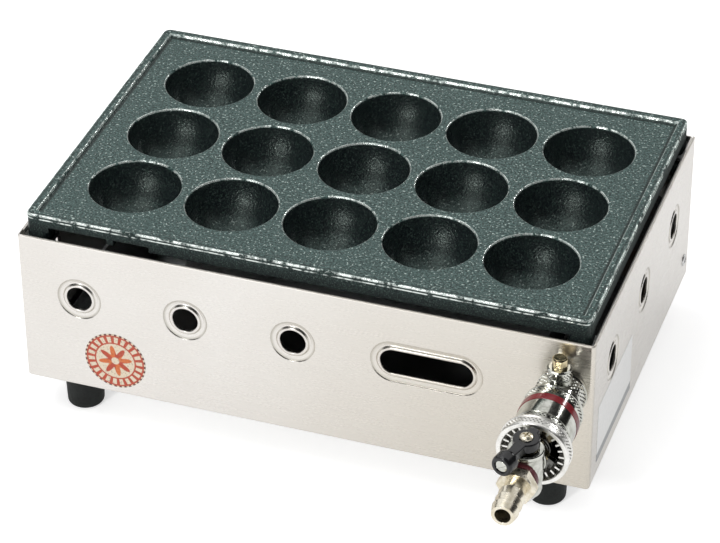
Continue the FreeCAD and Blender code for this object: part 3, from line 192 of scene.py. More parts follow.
# %% Turned parts, and joining or cutting two shapes
def lathe(name, outline, place=None, segments=72, flats=None, radius=0.3, scale=to_metres):
    """A part turned about its own Z, with flat sides as on a nut if flats are given."""
    sheet = bmesh.new()
    rings = [ring_at(sheet, height, circle(reach, segments, 0, flats))
             for reach, height in rounded(outline, radius)]
    join_rings(sheet, rings, closed=len(rings[0]) > 1 and len(rings[-1]) > 1)
    return finish_mesh(sheet, name, place, 20 if flats else 35, scale)


def result_of_modifiers(thing):
    """The thing's mesh with its modifiers applied."""
    bpy.context.view_layer.update()
    return bpy.data.meshes.new_from_object(thing.evaluated_get(bpy.context.evaluated_depsgraph_get()))


def shape_with(thing, tool, operation):
    """Join a second shape to the first, or cut it out, and keep the result as a plain mesh."""
    modifier = thing.modifiers.new("shape", "BOOLEAN")
    modifier.operation, modifier.solver, modifier.object = operation, "EXACT", tool
    thing.data = result_of_modifiers(thing)
    thing.modifiers.clear()
    shade(thing.data)
    bpy.data.objects.remove(tool)


def merge_pieces(name, *things):
    """Several closed shapes as one piece."""
    sheet = bmesh.new()
    for thing in things:
        sheet.from_mesh(thing.data)
        bpy.data.objects.remove(thing)
    return piece_from_sheet(name, sheet)


def keep(piece, finish, body, slot, *nodes):
    """Give a finished piece its material and body; it stands for the frame's nodes named. The slot argument
    is not used.
    """
    piece.data.materials.clear()
    piece.data.materials.append(finish)
    even = piece.modifiers.new("even shading", "WEIGHTED_NORMAL")
    even.keep_sharp = True
    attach(piece, body)
    if nodes:
        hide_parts(*nodes)
    print(piece.name, "has", len(piece.data.polygons), "faces")


# %% [markdown]
# ## Node trees, for geometry and for materials
#
# Many things here repeat: pits, air holes, knurls, feet. Geometry Nodes can repeat one template on
# points, and the sizes stay as named inputs of the tree, where they can be changed later. Each tree
# is built once, run with its sizes, and its result kept as a plain mesh. Materials are node trees
# too, so both share the code that adds a node and joins its inputs by name.


# %% Build a tree
class Graph:
    """Nodes that are added by kind and joined by the names of their inputs."""

    def __init__(self, group):
        self.group = group

    def add(self, kind, settings=None, **links):
        node = self.group.nodes.new(kind)
        for key, value in (settings or {}).items():
            setattr(node, key, value)
        for label, value in links.items():
            self.join(value, node.inputs[label.replace("_", " ")])
        return node

    def join(self, value, socket):
        if isinstance(value, bpy.types.NodeSocket):
            self.group.links.new(value, socket)
        else:
            socket.default_value = value

    def math(self, operation, *values):
        node = self.add("ShaderNodeMath", {"operation": operation})
        for value, socket in zip(values, node.inputs):
            self.join(value, socket)
        return node.outputs[0]

    def plus(self, first, second):
        return self.math("ADD", first, second)

    def minus(self, first, second):
        return self.math("SUBTRACT", first, second)

    def times(self, first, second):
        return self.math("MULTIPLY", first, second)

    def most(self, first, second):
        return self.math("MAXIMUM", first, second)


class Tree(Graph):
    """A Geometry Nodes tree with named inputs. Every tree has a Material input."""

    def __init__(self, name, **inputs):
        super().__init__(bpy.data.node_groups.new(name, "GeometryNodeTree"))
        sockets = self.group.interface
        for label, kind in {"Geometry": "Geometry", **inputs, "Material": "Material"}.items():
            sockets.new_socket(label.replace("_", " "), in_out="INPUT", socket_type=f"NodeSocket{kind}")
        sockets.new_socket("Geometry", in_out="OUTPUT", socket_type="NodeSocketGeometry")
        self.given = self.add("NodeGroupInput").outputs

    def end(self, points, rotation=(0, 0, 0)):
        """Every tree puts its template on points and ends in Realize Instances and Set Material."""
        template = self.add("GeometryNodeObjectInfo", Object=self.given["Template"])
        copies = self.add("GeometryNodeInstanceOnPoints", Points=points, Rotation=rotation,
                          Instance=template.outputs["Geometry"])
        real = self.add("GeometryNodeRealizeInstances", Geometry=copies.outputs[0]).outputs[0]
        painted = self.add("GeometryNodeSetMaterial", Geometry=real, Material=self.given["Material"])
        self.add("NodeGroupOutput", Geometry=painted.outputs[0])
        return self

    def run(self, name, place=None, scale=to_metres, again=False, **values):
        """Run the tree and keep the result as a plain mesh; the template goes, unless it is used again."""
        holder = new_object(name + "_holder", bpy.data.meshes.new(name + "_holder"))
        modifier = holder.modifiers.new("tree", "NODES")
        modifier.node_group = self.group
        for socket in self.group.interface.items_tree:
            key = socket.name.replace(" ", "_")
            if socket.in_out == "INPUT" and key in values:
                modifier[socket.identifier] = values[key]
        holder.update_tag()
        mesh = result_of_modifiers(holder)
        for used in (holder,) if again else (holder, values["Template"]):
            bpy.data.objects.remove(used)
        mesh.transform(scale @ (place or Matrix()))
        mesh.name = name
        return new_object(name, mesh)


# %% Repeat a template round an axis, in rows
def round_axis_tree():
    """Rows of copies round the Z axis: knurls, ribs, a pair of screws on opposite walls."""
    tree = Tree("round an axis", Template="Object", Count="Int", Rows="Int", Radius="Float", Step="Float",
                Stagger="Float")
    given = tree.given
    points = tree.add("GeometryNodeMeshLine", Count=tree.times(given["Count"], given["Rows"]))
    number = tree.add("GeometryNodeInputIndex").outputs[0]
    row = tree.math("FLOOR", tree.math("DIVIDE", tree.plus(number, 0.5), given["Count"]))
    odd = tree.math("MODULO", row, 2.0)
    place = tree.plus(tree.math("MODULO", number, given["Count"]), tree.times(odd, given["Stagger"]))
    angle = tree.math("DIVIDE", tree.times(place, 2 * pi), given["Count"])
    spot = tree.add("ShaderNodeCombineXYZ", X=tree.times(given["Radius"], tree.math("COSINE", angle)),
                    Y=tree.times(given["Radius"], tree.math("SINE", angle)), Z=tree.times(row, given["Step"]))
    moved = tree.add("GeometryNodeSetPosition", Geometry=points.outputs[0], Position=spot.outputs[0])
    return tree.end(moved.outputs[0], tree.add("ShaderNodeCombineXYZ", Z=angle).outputs[0])


round_axis = round_axis_tree()


# %% Repeat a template on a flat grid
def grid_tree():
    """Copies on a grid of points in the XY plane: pits, a row of air holes, the feet."""
    tree = Tree("on a grid", Template="Object", Columns="Int", Rows="Int", Pitch_X="Float", Pitch_Y="Float")
    given = tree.given
    size = [tree.times(tree.minus(given[count], 1.0), given[pitch])
            for count, pitch in (("Columns", "Pitch X"), ("Rows", "Pitch Y"))]
    grid = tree.add("GeometryNodeMeshGrid", Size_X=size[0], Size_Y=size[1], Vertices_X=given["Columns"],
                    Vertices_Y=given["Rows"])
    return tree.end(grid.outputs[0])


on_grid = grid_tree()
print("the trees are", [group.name for group in bpy.data.node_groups])

# %% [markdown]
# ## Finishes
#
# Each finish is a node material on Object coordinates, so its grain has its real size and stays on
# the piece when it moves. Colour, roughness and relief come from noise at two or three scales: the
# grain that the process leaves, and the slow change that handling and heat leave. Places and depths
# are in millimetres here too.


# %% A finish
class Finish(Graph):
    """A procedural material. Values that are the same all over go straight to the shader."""

    def __init__(self, name, **plain):
        self.material = bpy.data.materials.new(name)
        self.material.use_nodes = True
        super().__init__(self.material.node_tree)
        self.shader = self.group.nodes["Principled BSDF"]
        for label, value in plain.items():
            self.shader.inputs[label.replace("_", " ")].default_value = value
        self.spot = self.add("ShaderNodeTexCoord").outputs["Object"]

    def around(self, centre=(0, 0, 0), size=(1, 1, 1)):
        """Coordinates about a point, in units of size along each axis."""
        place, scale = to_metres @ Vector(centre), to_metres @ Vector(size)
        return self.add("ShaderNodeMapping", {"vector_type": "TEXTURE"}, Vector=self.spot, Location=place,
                        Scale=scale).outputs[0]

    def parts(self, vector):
        return self.add("ShaderNodeSeparateXYZ", Vector=vector).outputs

    def length(self, vector):
        return self.add("ShaderNodeVectorMath", {"operation": "LENGTH"}, Vector=vector).outputs["Value"]

    def past(self, coordinate, middle, half):
        """How far a coordinate lies past a box that reaches half to both sides of its middle."""
        return self.minus(self.math("ABSOLUTE", self.minus(coordinate, middle)), half)

    def noise(self, per_metre, detail=3.0, roughness=0.5, spot=None):
        """Noise in waves per metre, or per unit of the coordinates given as spot."""
        return self.add("ShaderNodeTexNoise", Vector=spot or self.spot, Scale=per_metre, Detail=detail,
                        Roughness=roughness).outputs[0]

    def fit(self, value, low, high, start=0.0, end=1.0):
        return self.add("ShaderNodeMapRange", Value=value, From_Min=low, From_Max=high, To_Min=start,
                        To_Max=end).outputs[0]

    def band(self, value, rise, fall, top=1.0):
        """0 outside a band and top inside it; rise and fall are the soft edges."""
        return self.times(self.fit(value, *rise), self.fit(value, *fall, top, 0.0))

    def mix(self, share, first, second):
        node = self.add("ShaderNodeMix", {"data_type": "RGBA"})
        self.join(share, node.inputs[0])
        for value, socket in ((first, node.inputs[6]), (second, node.inputs[7])):
            value = (value,) * 3 if isinstance(value, float) else value
            self.join((*value, 1) if isinstance(value, tuple) else value, socket)
        return node.outputs[2]

    def relief(self, height, depth, under=None, strength=1.0):
        node = self.add("ShaderNodeBump", Height=height, Distance=depth / 1000, Strength=strength)
        if under:
            self.join(under, node.inputs["Normal"])
        return node.outputs[0]

    def done(self, colour, roughness, normal, metallic=None):
        values = {"Base Color": colour, "Roughness": roughness, "Normal": normal, "Metallic": metallic}
        for label, value in values.items():
            if value is not None:
                self.join(value, self.shader.inputs[label])
        return self.material


# %% Cast iron of the plate, with its fine speckled coat
def plate_finish():
    finish = Finish("plate_iron", IOR=1.45, Specular_Tint=(0.84, 1.0, 0.92, 1.0))
    fit, mix, noise = finish.fit, finish.mix, finish.noise
    x, y, z = finish.parts(finish.around())
    height = finish.minus(z, deck_z)
    edge = finish.most(finish.past(x, plate_x, plate_half_x), finish.past(y, plate_y, plate_half_y))
    skirt = fit(edge, -0.6, -0.2)
    grain, speck, cloud = noise(1050, 2.0, 0.55), noise(950, 1.0, 0.4), noise(22, 3.0)
    coat = mix(fit(grain, 0.40, 0.62), (0.003, 0.012, 0.013), (0.080, 0.130, 0.123))
    coat = mix(fit(cloud, 0.3, 0.7, 0.0, 0.35), coat, (0.026, 0.052, 0.051))
    coat = mix(fit(speck, 0.64, 0.70, 0.0, 0.9), coat, (0.42, 0.50, 0.47))
    # painted shade: the coat is darker down in a pit, on the skirt, at the foot of the rim's inner side and
    # in a line along the rim's top
    # low in a pit the painted shade eases, as painted light where light from above falls
    painted_pit_shade = finish.minus(fit(height, -1.2, -0.6, 0.95, 0.0), fit(height, -18.8, -13.5, 0.55, 0.0))
    # painted shade in a line at the foot of the rim's inner side and in one near the rim's outer edge
    painted_rim_foot_shade = finish.band(edge, (-5.8, -5.2), (-4.4, -4.0), 0.85)
    painted_rim_top_shade = finish.band(edge, (-1.9, -1.6), (-1.2, -1.0), 0.6)
    dark = finish.most(painted_pit_shade, finish.most(painted_rim_foot_shade, painted_rim_top_shade))
    # on the skirt the painted shade is deepest at its foot
    dark = mix(skirt, dark, fit(height, -4.5, 0.8, 0.97, 0.66))
    toned = mix(dark, coat, (0.002, 0.003, 0.005))
    glint = fit(noise(1900, 1.0, 0.4), 0.56, 0.64)
    toned = mix(finish.times(glint, 0.07), toned, (0.30, 0.50, 0.38))
    # edges wear bright: the lips of the pits and both edges of the rim
    lip_edge = finish.band(height, (-0.8, -0.6), (-0.12, -0.04))
    rim_edge = finish.band(height, (0.6, 0.9), (1.63, 1.69))
    worn = finish.times(finish.most(lip_edge, rim_edge), fit(noise(260, 4.0, 0.6), 0.40, 0.54))
    rough = fit(noise(600, 2.0), 0.3, 0.7, 0.29, 0.43)
    rough = mix(worn, mix(skirt, mix(glint, rough, 0.20), 0.75), 0.25)
    normal = finish.relief(grain, 0.3, finish.relief(noise(330, 3.0), 0.12), 0.9)
    return finish.done(mix(worn, toned, (0.72, 0.78, 0.75)), rough, normal, finish.times(worn, 0.8))


plate_iron = plate_finish()


# %% Satin stainless sheet, and the duller plated sheet inside
def sheet_finish(name, bright, dull, low, high, depth, pressed=False):
    """Brushed sheet; pressed is for the walls, whose dishes and edges the press has changed, with painted
    shade in their creases and near the front's lower right.
    """
    finish = Finish(name, Metallic=1.0)
    fit, mix = finish.fit, finish.mix
    grain = finish.noise(1.0, 3.0, 0.6, finish.around(size=(60, 60, 0.35)))
    haze, touched = finish.noise(14, 4.0, 0.55), finish.noise(160, 2.0)
    colour = mix(fit(haze, 0.35, 0.7), bright, dull)
    rough = finish.plus(fit(grain, 0.3, 0.7, low, high), fit(touched, 0.4, 0.8, 0.0, 0.04))
    if pressed:
        x, y, z = finish.parts(finish.around())
        side, front = finish.past(x, centre_x, casing_half), finish.minus(front_y, y)
        outside = finish.most(side, front)
        # the die polishes a dish, the fold at the top is duller, and painted shade darkens the creases
        rough = mix(fit(outside, -0.4, -0.1, 1.0, 0.0), rough, 0.27)
        rough = mix(fit(z, casing_high.z - 1, casing_high.z - 0.6), rough, 0.5)
        # painted shade in the creases at the edges of the dishes, kept off the corner bends
        crease = finish.band(outside, (-0.7, -0.4), (-0.25, -0.1))
        off_the_bend = fit(finish.math("MINIMUM", side, front), -4, -2, 0.6, 0.0)
        colour = mix(finish.times(crease, off_the_bend), colour, (0.36, 0.34, 0.28))
        # painted shade: the front grows darker and warmer in tone near the right foot
        away = finish.length(finish.around((casing_high.x, front_y, 20)))
        painted_warm_shade = finish.times(fit(away, 30, 170, 0.75, 0.0), fit(front, -4, -2))
        colour = mix(painted_warm_shade, colour, (0.60, 0.555, 0.475))
    return finish.done(colour, rough, finish.relief(grain, depth, finish.relief(haze, 0.8, None, 0.25), 0.5))


stainless = sheet_finish("stainless", (0.79, 0.765, 0.73), (0.75, 0.72, 0.68), 0.22, 0.34, 0.01, True)
galvanized = sheet_finish("galvanized", (0.70, 0.71, 0.71), (0.55, 0.57, 0.58), 0.38, 0.55, 0.02)


# %% Plated and plain machined metals
def metal_finish(name, bright, dull, low, high):
    """A polished or machined metal with faint tool marks."""
    finish = Finish(name, Metallic=1.0)
    smear = finish.noise(260, 4.0, 0.6)
    marks = finish.noise(1.0, 2.0, 0.5, finish.around(size=(1.2, 0.4, 1.2)))
    colour = finish.mix(finish.fit(smear, 0.42, 0.72), bright, dull)
    rough = finish.plus(finish.fit(smear, 0.35, 0.75, low, high), finish.fit(marks, 0.3, 0.7, 0.0, 0.05))
    return finish.done(colour, rough, finish.relief(marks, 0.012, finish.relief(smear, 0.06, None, 0.4), 0.5))


chrome = metal_finish("chrome", (0.61, 0.615, 0.57), (0.36, 0.365, 0.32), 0.05, 0.16)
satin_chrome = metal_finish("satin_chrome", (0.86, 0.85, 0.82), (0.70, 0.69, 0.65), 0.24, 0.36)
nickel = metal_finish("nickel", (0.82, 0.77, 0.65), (0.62, 0.55, 0.40), 0.20, 0.36)
smoked = metal_finish("smoked_steel", (0.20, 0.20, 0.19), (0.10, 0.10, 0.09), 0.14, 0.3)
brass = metal_finish("brass", (0.62, 0.53, 0.34), (0.32, 0.27, 0.16), 0.12, 0.32)
screw_steel = metal_finish("screw_steel", (0.70, 0.70, 0.69), (0.50, 0.50, 0.50), 0.22, 0.42)


# %% Heat-darkened burner iron
def burner_finish():
    finish = Finish("burner_iron", Metallic=0.35)
    grain, cloud = finish.noise(700, 4.0, 0.6), finish.noise(45, 4.0)
    iron = finish.mix(finish.fit(grain, 0.35, 0.7), (0.06, 0.062, 0.062), (0.17, 0.17, 0.165))
    rust = finish.mix(finish.fit(cloud, 0.52, 0.75), iron, (0.13, 0.07, 0.045))
    return finish.done(rust, finish.fit(grain, 0.3, 0.7, 0.55, 0.8), finish.relief(grain, 0.3))


burner_iron = burner_finish()


# %% Rubber and moulded plastic
def moulded_finish(name, base, worn, low, high, grain_scale, depth, **plain):
    finish = Finish(name, **plain)
    grain, wear = finish.noise(grain_scale, 3.0), finish.noise(70, 5.0, 0.6)
    colour = finish.mix(finish.fit(wear, 0.42, 0.8), base, worn)
    return finish.done(colour, finish.fit(grain, 0.3, 0.7, low, high), finish.relief(grain, depth, None, 0.7))


rubber = moulded_finish("foot_rubber", (0.003, 0.0045, 0.004), (0.014, 0.018, 0.016), 0.55, 0.72, 1300, 0.08,
                        IOR=1.38)
black_plastic = moulded_finish("black_plastic", (0.006, 0.006, 0.007), (0.02, 0.02, 0.022), 0.16, 0.28, 900,
                               0.02)
red_plastic = moulded_finish("red_plastic", (0.19, 0.014, 0.02), (0.11, 0.010, 0.015), 0.12, 0.22, 900, 0.03)
maroon = moulded_finish("maroon_washer", (0.10, 0.010, 0.016), (0.05, 0.007, 0.01), 0.3, 0.5, 900, 0.03)
print("materials:", [material.name for material in bpy.data.materials])

# %% [markdown]
# ## The cast plate
#
# The plate is one iron casting: a deck with a raised rim, three rows of round pits, a skirt and
# four legs. Cutting pits out of a slab with booleans would leave long thin faces round every lip,
# and these shade badly. So one square cell with one pit is made from rings, and a Geometry Nodes
# grid repeats it. Rim and skirt are a loft of rounded rectangles round the field of cells.

# %% One cell of the plate
pitch, columns, rows = 45, 5, 3
pit_mouth, pit_depth, pit_wall, lip, deck_thickness = 20.25, 19, 2.5, 0.95, 4
cell_sides, lip_steps, lip_turn = 64, 7, 78


def bowl(mouth, depth, top, count):
    """(radius, height) of rings down a round bowl whose mouth is at height 0."""
    radius = (mouth ** 2 + depth ** 2) / (2 * depth)
    start = asin((top - radius + depth) / radius)
    angles = [start + (-pi / 2 - start) * step / count for step in range(count)]
    return [(radius * cos(a), radius - depth + radius * sin(a)) for a in angles] + [(0, -depth)]


def square(half, count):
    """Points on a square, one for each point of circle(r, count, pi / 4)."""
    return [(x / max(abs(x), abs(y)) * half, y / max(abs(x), abs(y)) * half)
            for x, y in circle(1, count, pi / 4)]


def pit_cell():
    """One square of the plate: its upper face with the pit and its lower face with the bulge."""
    sheet = bmesh.new()
    turns = [radians(lip_turn * step / lip_steps) for step in range(lip_steps + 1)]
    edge = [(pit_mouth + lip * (1 - sin(turn)), -lip * (1 - cos(turn))) for turn in turns]
    upper = [(edge[0][0] + 0.2, 0)] + edge + bowl(pit_mouth, pit_depth, -2 * lip, 22)
    lower = bowl(pit_mouth + pit_wall, pit_depth + pit_wall, -deck_thickness, 14)
    for level, sizes in ((0, upper), (-deck_thickness, lower)):
        rings = [ring_at(sheet, level, square(pitch / 2, cell_sides))]
        rings += [ring_at(sheet, height, circle(reach, cell_sides, pi / 4)) for reach, height in sizes]
        join_rings(sheet, rings)
    return piece_from_sheet("pit_cell", sheet)


field = on_grid.run("pit_field", scale=in_millimetres, Template=pit_cell(), Columns=columns, Rows=rows,
                    Pitch_X=float(pitch), Pitch_Y=float(pitch), Material=plate_iron)
print("the field has", len(field.data.polygons), "faces")

# %% Rim, skirt and underside round the field
corner_radius, rim_width, skirt_thickness, skirt_bottom, field_edge = 3, 4, 4, -7, 6.4


def rectangle_ring(half_x, half_y, radius, steps=5):
    """Points of a rectangle with rounded corners, anticlockwise."""
    ring = []
    for corner, (side_x, side_y) in enumerate(((1, 1), (-1, 1), (-1, -1), (1, -1))):
        for step in range(steps + 1):
            angle = pi / 2 * (corner + step / steps)
            ring.append((side_x * (half_x - radius) + radius * cos(angle),
                         side_y * (half_y - radius) + radius * sin(angle)))
    return ring


def fill_gap(sheet, normal, lies_in):
    """Fill the flat gap between the open edges whose two ends lie in one plane."""
    edges = [edge for edge in sheet.edges if len(edge.link_faces) == 1 and all(map(lies_in, edge.verts))]
    if edges:
        bmesh.ops.triangle_fill(sheet, use_beauty=True, edges=edges, normal=normal)
    print(len(edges), "open edges filled")


def plate_piece():
    sheet = bmesh.new()
    sheet.from_mesh(field.data)
    bmesh.ops.remove_doubles(sheet, verts=sheet.verts, dist=1e-3)
    outline = [(field_edge, 0, 0), (rim_width + 0.45, 0, 0.9), (rim_width - 0.25, rim_height, 0.7),
               (0, rim_height, 0.8), (0, skirt_bottom, 0.7), (skirt_thickness, skirt_bottom, 0.6),
               (skirt_thickness, -deck_thickness, 1), (field_edge, -deck_thickness, 0)]
    rings = []
    for inset, height in rounded(outline):
        ring = rectangle_ring(plate_half_x - inset, plate_half_y - inset, max(corner_radius - inset, 0.5))
        rings.append(ring_at(sheet, height, ring))
    join_rings(sheet, rings)
    for level in (0, -deck_thickness):
        fill_gap(sheet, (0, 0, 1), lambda vertex: abs(vertex.co.z - level) < 1e-3)
    return finish_mesh(sheet, "griddle_casting", Matrix.Translation((plate_x, plate_y, deck_z)), 40)


plate = plate_piece()
bpy.data.objects.remove(field)

# %% Legs and the windows in the skirt
leg_inset, leg_half, leg_round = 5.03, 5, 2.9
window_left, windows = plate_low.x + 10.5, ((0, 27), (30, 46.5))


def block(name, low, high, radius=0.0, scale=to_metres):
    """A box between two corners, in millimetres, with rounded upright edges."""
    middle_x, middle_y = (low[0] + high[0]) / 2, (low[1] + high[1]) / 2
    half_x, half_y = (high[0] - low[0]) / 2, (high[1] - low[1]) / 2
    ring = rectangle_ring(half_x, half_y, max(radius, 1e-4), 5 if radius else 1)
    outline = [(middle_x + x, middle_y + y) for x, y in ring]
    return extruded(name, outline, low[2], high[2], scale=scale)


for x in (plate_low.x + leg_inset, plate_high.x - leg_inset):
    for y in (plate_low.y + leg_inset, plate_high.y - leg_inset):
        low, high = (x - leg_half, y - leg_half, plate_low.z), (x + leg_half, y + leg_half, deck_z - 1.5)
        shape_with(plate, block("leg", low, high, leg_round), "UNION")
for left, right in windows:
    low = window_left + left, plate_low.y - 1, plate_low.z
    high = window_left + right, plate_low.y + skirt_thickness + 0.5, deck_z - deck_thickness
    shape_with(plate, block("cutter", low, high), "DIFFERENCE")
keep(plate, plate_iron, "plate", "plate_iron", "griddle_plate")

# %% [markdown]
# ## The sheet casing
#
# The casing is one strip of stainless sheet, bent round the two front corners, folded over along
# its top edge and turned in at the bottom. Round holes for air and a long one for lighting the
# burner are punched through pressed-in dishes, which stiffen the thin wall. A Solidify modifier
# could thicken a single surface, but the fold and the flange have their own outlines. So the wall's
# section is swept along the bends. A Geometry Nodes row of dishes is then set into each wall, and
# the flat sheet between them is filled.

# %% Section of the sheet, swept round the bends
thickness, bend, bend_steps = 0.8, 1.6, 6
fold, fold_depth, flange = 1.7, 4, 24.8
band_low, band_high = 50.0, 80.0
notch, rear_gap = 4.7, 13.3


def section(low, high, fold, flange):
    """Outline (inward, height) of a wall with a fold inside its top and a flange at its foot."""
    t, top = thickness, 0.8 if fold > thickness else 0.25
    return rounded([
        (0, low, 0.9 if flange > t else 0.15), (0, band_low, 0), (0, band_high, 0), (0, high, top),
        (fold, high, top), (fold, high - fold_depth, 0.15), (t, high - fold_depth, 0), (t, band_high, 0),
        (t, band_low, 0), (t, low + t, 0.4), (flange, low + t, 0.15), (flange, low, 0.15)])


def sweep_walls(corners, low, high, fold, flange, changes):
    """Sweep the section along corners. changes(run, length) gives (distance, fold?, flange?)."""
    sheet = bmesh.new()
    outline = section(low, high, fold, flange)
    rings, runs = [], []

    def add_ring(place, with_fold, with_flange):
        ring = []
        for inward, height in outline:
            in_fold, in_flange = height > high - fold_depth - 0.5, height < low + 2
            cut = in_fold and not with_fold or in_flange and not with_flange
            x, y = place(min(inward, thickness) if cut else inward)
            ring.append(sheet.verts.new((x, y, height)))
        rings.append(ring)

    for run, (start, end) in enumerate(zip(corners, corners[1:])):
        start, corner = Vector(start), Vector(end)
        along, length = (corner - start).normalized(), (corner - start).length
        inwards = Vector((-along.y, along.x))
        runs.append((start, along, inwards, length))
        for distance, with_fold, with_flange in changes(run, length):
            spot = start + along * distance
            add_ring(lambda inward: spot + inwards * inward, with_fold, with_flange)
        if run == len(corners) - 2:
            break
        turned = -along  # inward normal of the next wall
        for step in range(1, bend_steps):
            angle = pi / 2 * step / bend_steps
            normal = inwards * cos(angle) + turned * sin(angle)

            def place(inward):
                reach = max(inward, bend)
                return corner + (inwards + turned) * reach - normal * (reach - inward)

            add_ring(place, with_fold, True)
    close_ends(sheet, rings)
    return sheet, runs


def casing_changes(run, length):
    """The fold stops short of the corners and of the back wall, the flange short of the rear end."""
    corner = [(bend, False, True), (notch, False, True), (notch, True, True)]
    rear = [(0, False, False), (thickness, False, False), (thickness, False, True), (rear_gap, False, True),
            (rear_gap, True, True)]
    last = reversed(rear if run == 2 else corner)
    return (rear if run == 0 else corner) + [(length - distance, *rest) for distance, *rest in last]


# %% A pressed dish, and the slot's longer one
to_the_square = 1  # a reach that stands for the square edge of a patch


def dish_patch(name, hole, straight=0.0, half_height=13.5, dished=True):
    """A square of wall with a hole in a pressed dish; straight lengthens both into a slot."""
    sheet, t = bmesh.new(), thickness
    profile = [(hole, 0, 0.15), (hole, t, 0.15)]
    if dished:
        profile = [(hole + 4.7, 0, 0), (hole + 4.55, 0, 0.1), (hole + 4.2, 0.35, 0.2), (hole + 2.6, 0.9, 0.4),
                   (hole + 2.0, 0.9, 0.4), (hole + 1.1, 0.05, 0.5), (hole + 0.3, 0.0, 0.3), (hole, 0.35, 0.3),
                   (hole, 1.1, 0.15), (hole + 0.6, 1.1, 0.2), (hole + 1.7, 1.8, 0.5), (hole + 3.8, 1.8, 0.5),
                   (hole + 4.5, t, 0.5), (hole + 4.8, t, 0)]
    rings = []
    for reach, inward in rounded([(to_the_square, 0, 0), *profile, (to_the_square, t, 0)]):
        edge = reach == to_the_square
        spots = square(half_height, cell_sides) if edge else circle(reach, cell_sides, pi / 4)
        rings.append([sheet.verts.new((x + (copysign(straight, x) if abs(x) > 1e-5 else 0), inward, z))
                      for x, z in spots])
    join_rings(sheet, rings)
    return finish_mesh(sheet, name, scale=in_millimetres)


def set_dishes(sheet, run, template, count, step, along, height):
    """A row of one template, set into one wall; along is the row's middle from the wall's start."""
    start, direction, inwards, _ = run
    spot = start + direction * along
    place = Matrix(((direction.x, inwards.x, 0, spot.x), (direction.y, inwards.y, 0, spot.y),
                    (0, 0, 1, height), (0, 0, 0, 1)))
    row = on_grid.run("row", place, in_millimetres, True, Template=template, Columns=count, Rows=1,
                      Pitch_X=float(step), Material=stainless)
    sheet.from_mesh(row.data)
    bpy.data.objects.remove(row)


def open_band(sheet, shortest):
    """Take away the faces of the band that the dishes are set into, where they are long enough."""
    gone = []
    for face in sheet.faces:
        heights = {round(vertex.co.z, 3) for vertex in face.verts}
        if heights == {band_low, band_high} and face.calc_area() > shortest * (band_high - band_low):
            gone.append(face)
    bmesh.ops.delete(sheet, geom=gone, context="FACES_ONLY")


def fill_walls(sheet, runs):
    """Fill the flat sheet round the dishes, on the outer and on the inner skin of each wall."""
    bmesh.ops.remove_doubles(sheet, verts=sheet.verts, dist=1e-3)
    for start, along, inwards, length in runs:
        for skin in (0, thickness):

            def on_skin(vertex):
                spot = Vector(vertex.co.xy) - start
                return abs(spot.dot(inwards) - skin) < 2e-3 and -0.1 < spot.dot(along) < length + 0.1

            fill_gap(sheet, (*inwards, 0), on_skin)
    print("open edges left in the walls:", sum(len(edge.link_faces) == 1 for edge in sheet.edges))


# %% Front and side walls
air_hole, slot_half_height, slot_straight, collar_hole_radius = 5.75, 6.0, 14.5, 9.2
side_pitch, front_pitch, back_pitch = 52, 49.2, 49
front_row_x, slot_x, fitting_x, fitting_up = -52.3, 56.6, 116, 50
hole_z = casing_low.z + 47
round_dish = dish_patch("round_dish", air_hole)
slot_dish = dish_patch("slot_dish", slot_half_height, slot_straight)
collar_hole = dish_patch("collar_hole", collar_hole_radius, 0.0, 10.8, False)


def front_and_sides():
    left, right, back = casing_low.x, casing_high.x, casing_high.y
    path = [(left, back), (left, front_y), (right, front_y), (right, back)]
    shell, runs = sweep_walls(path, casing_low.z, casing_high.z, fold, flange, casing_changes)
    open_band(shell, 2)
    middle = (back - front_y) / 2
    for run, *row in ((0, round_dish, 3, side_pitch, middle, hole_z),
                      (1, round_dish, 3, front_pitch, casing_half + front_row_x, hole_z),
                      (1, slot_dish, 1, 1, casing_half + slot_x, hole_z),
                      (1, collar_hole, 1, 1, casing_half + fitting_x, casing_low.z + fitting_up),
                      (2, round_dish, 3, side_pitch, middle, hole_z)):
        set_dishes(shell, runs[run], *row)
    fill_walls(shell, runs)
    return finish_mesh(shell, "casing_sheet", crease=30)


keep(front_and_sides(), stainless, "base", "stainless", "casing_shell")


# %% Back wall
def back_wall():
    low, high = box("back_panel")
    path = [(high.x, low.y), (high.x, high.y), (low.x, high.y), (low.x, low.y)]

    def changes(run, length):
        ends = (0 if run == 0 else bend, length if run == 2 else length - bend)
        return [(distance, True, True) for distance in ends]

    shell, runs = sweep_walls(path, low.z, high.z, thickness, thickness, changes)
    open_band(shell, 100)
    set_dishes(shell, runs[1], round_dish, 4, back_pitch, (high.x - low.x) / 2, hole_z)
    fill_walls(shell, runs[1:2])
    return finish_mesh(shell, "back_wall_sheet", crease=30)


keep(back_wall(), stainless, "base", "stainless", "back_panel")
for template in (round_dish, slot_dish, collar_hole):
    bpy.data.objects.remove(template)

# %% [markdown]
# ## Feet and screws
#
# A rubber foot is moulded, so its lower edge is well rounded and its sides taper a little. One foot
# is turned and repeated on a two by two grid. The two screws that hold the back wall stand on
# opposite sides of the casing, so they are two copies round an upright axis.

# %% Four feet from one
corner_names = [f"{end}_{side}" for end in ("front", "rear") for side in ("left", "right")]
foot_low = box("rubber_foot_front_left")[0]
far_low, far_high = box("rubber_foot_rear_right")
foot = lathe("foot", [
    (4.6, 0, 0.4), (8.2, 0, 2.4), (8.8, 17.3, 0.5), (8.5, 18, 0.2), (2.05, 18, 0.1), (2.05, 8, 0.1),
    (4.6, 8, 0.3)], scale=in_millimetres)
feet_middle, feet_pitch = (foot_low + far_high) / 2, far_low - foot_low
feet = on_grid.run("rubber_feet", Matrix.Translation((*feet_middle.xy, 0)), Template=foot, Columns=2, Rows=2,
                   Pitch_X=feet_pitch.x, Pitch_Y=feet_pitch.y, Material=rubber)
keep(feet, rubber, "base", "foot_rubber", *[f"rubber_foot_{corner}" for corner in corner_names])


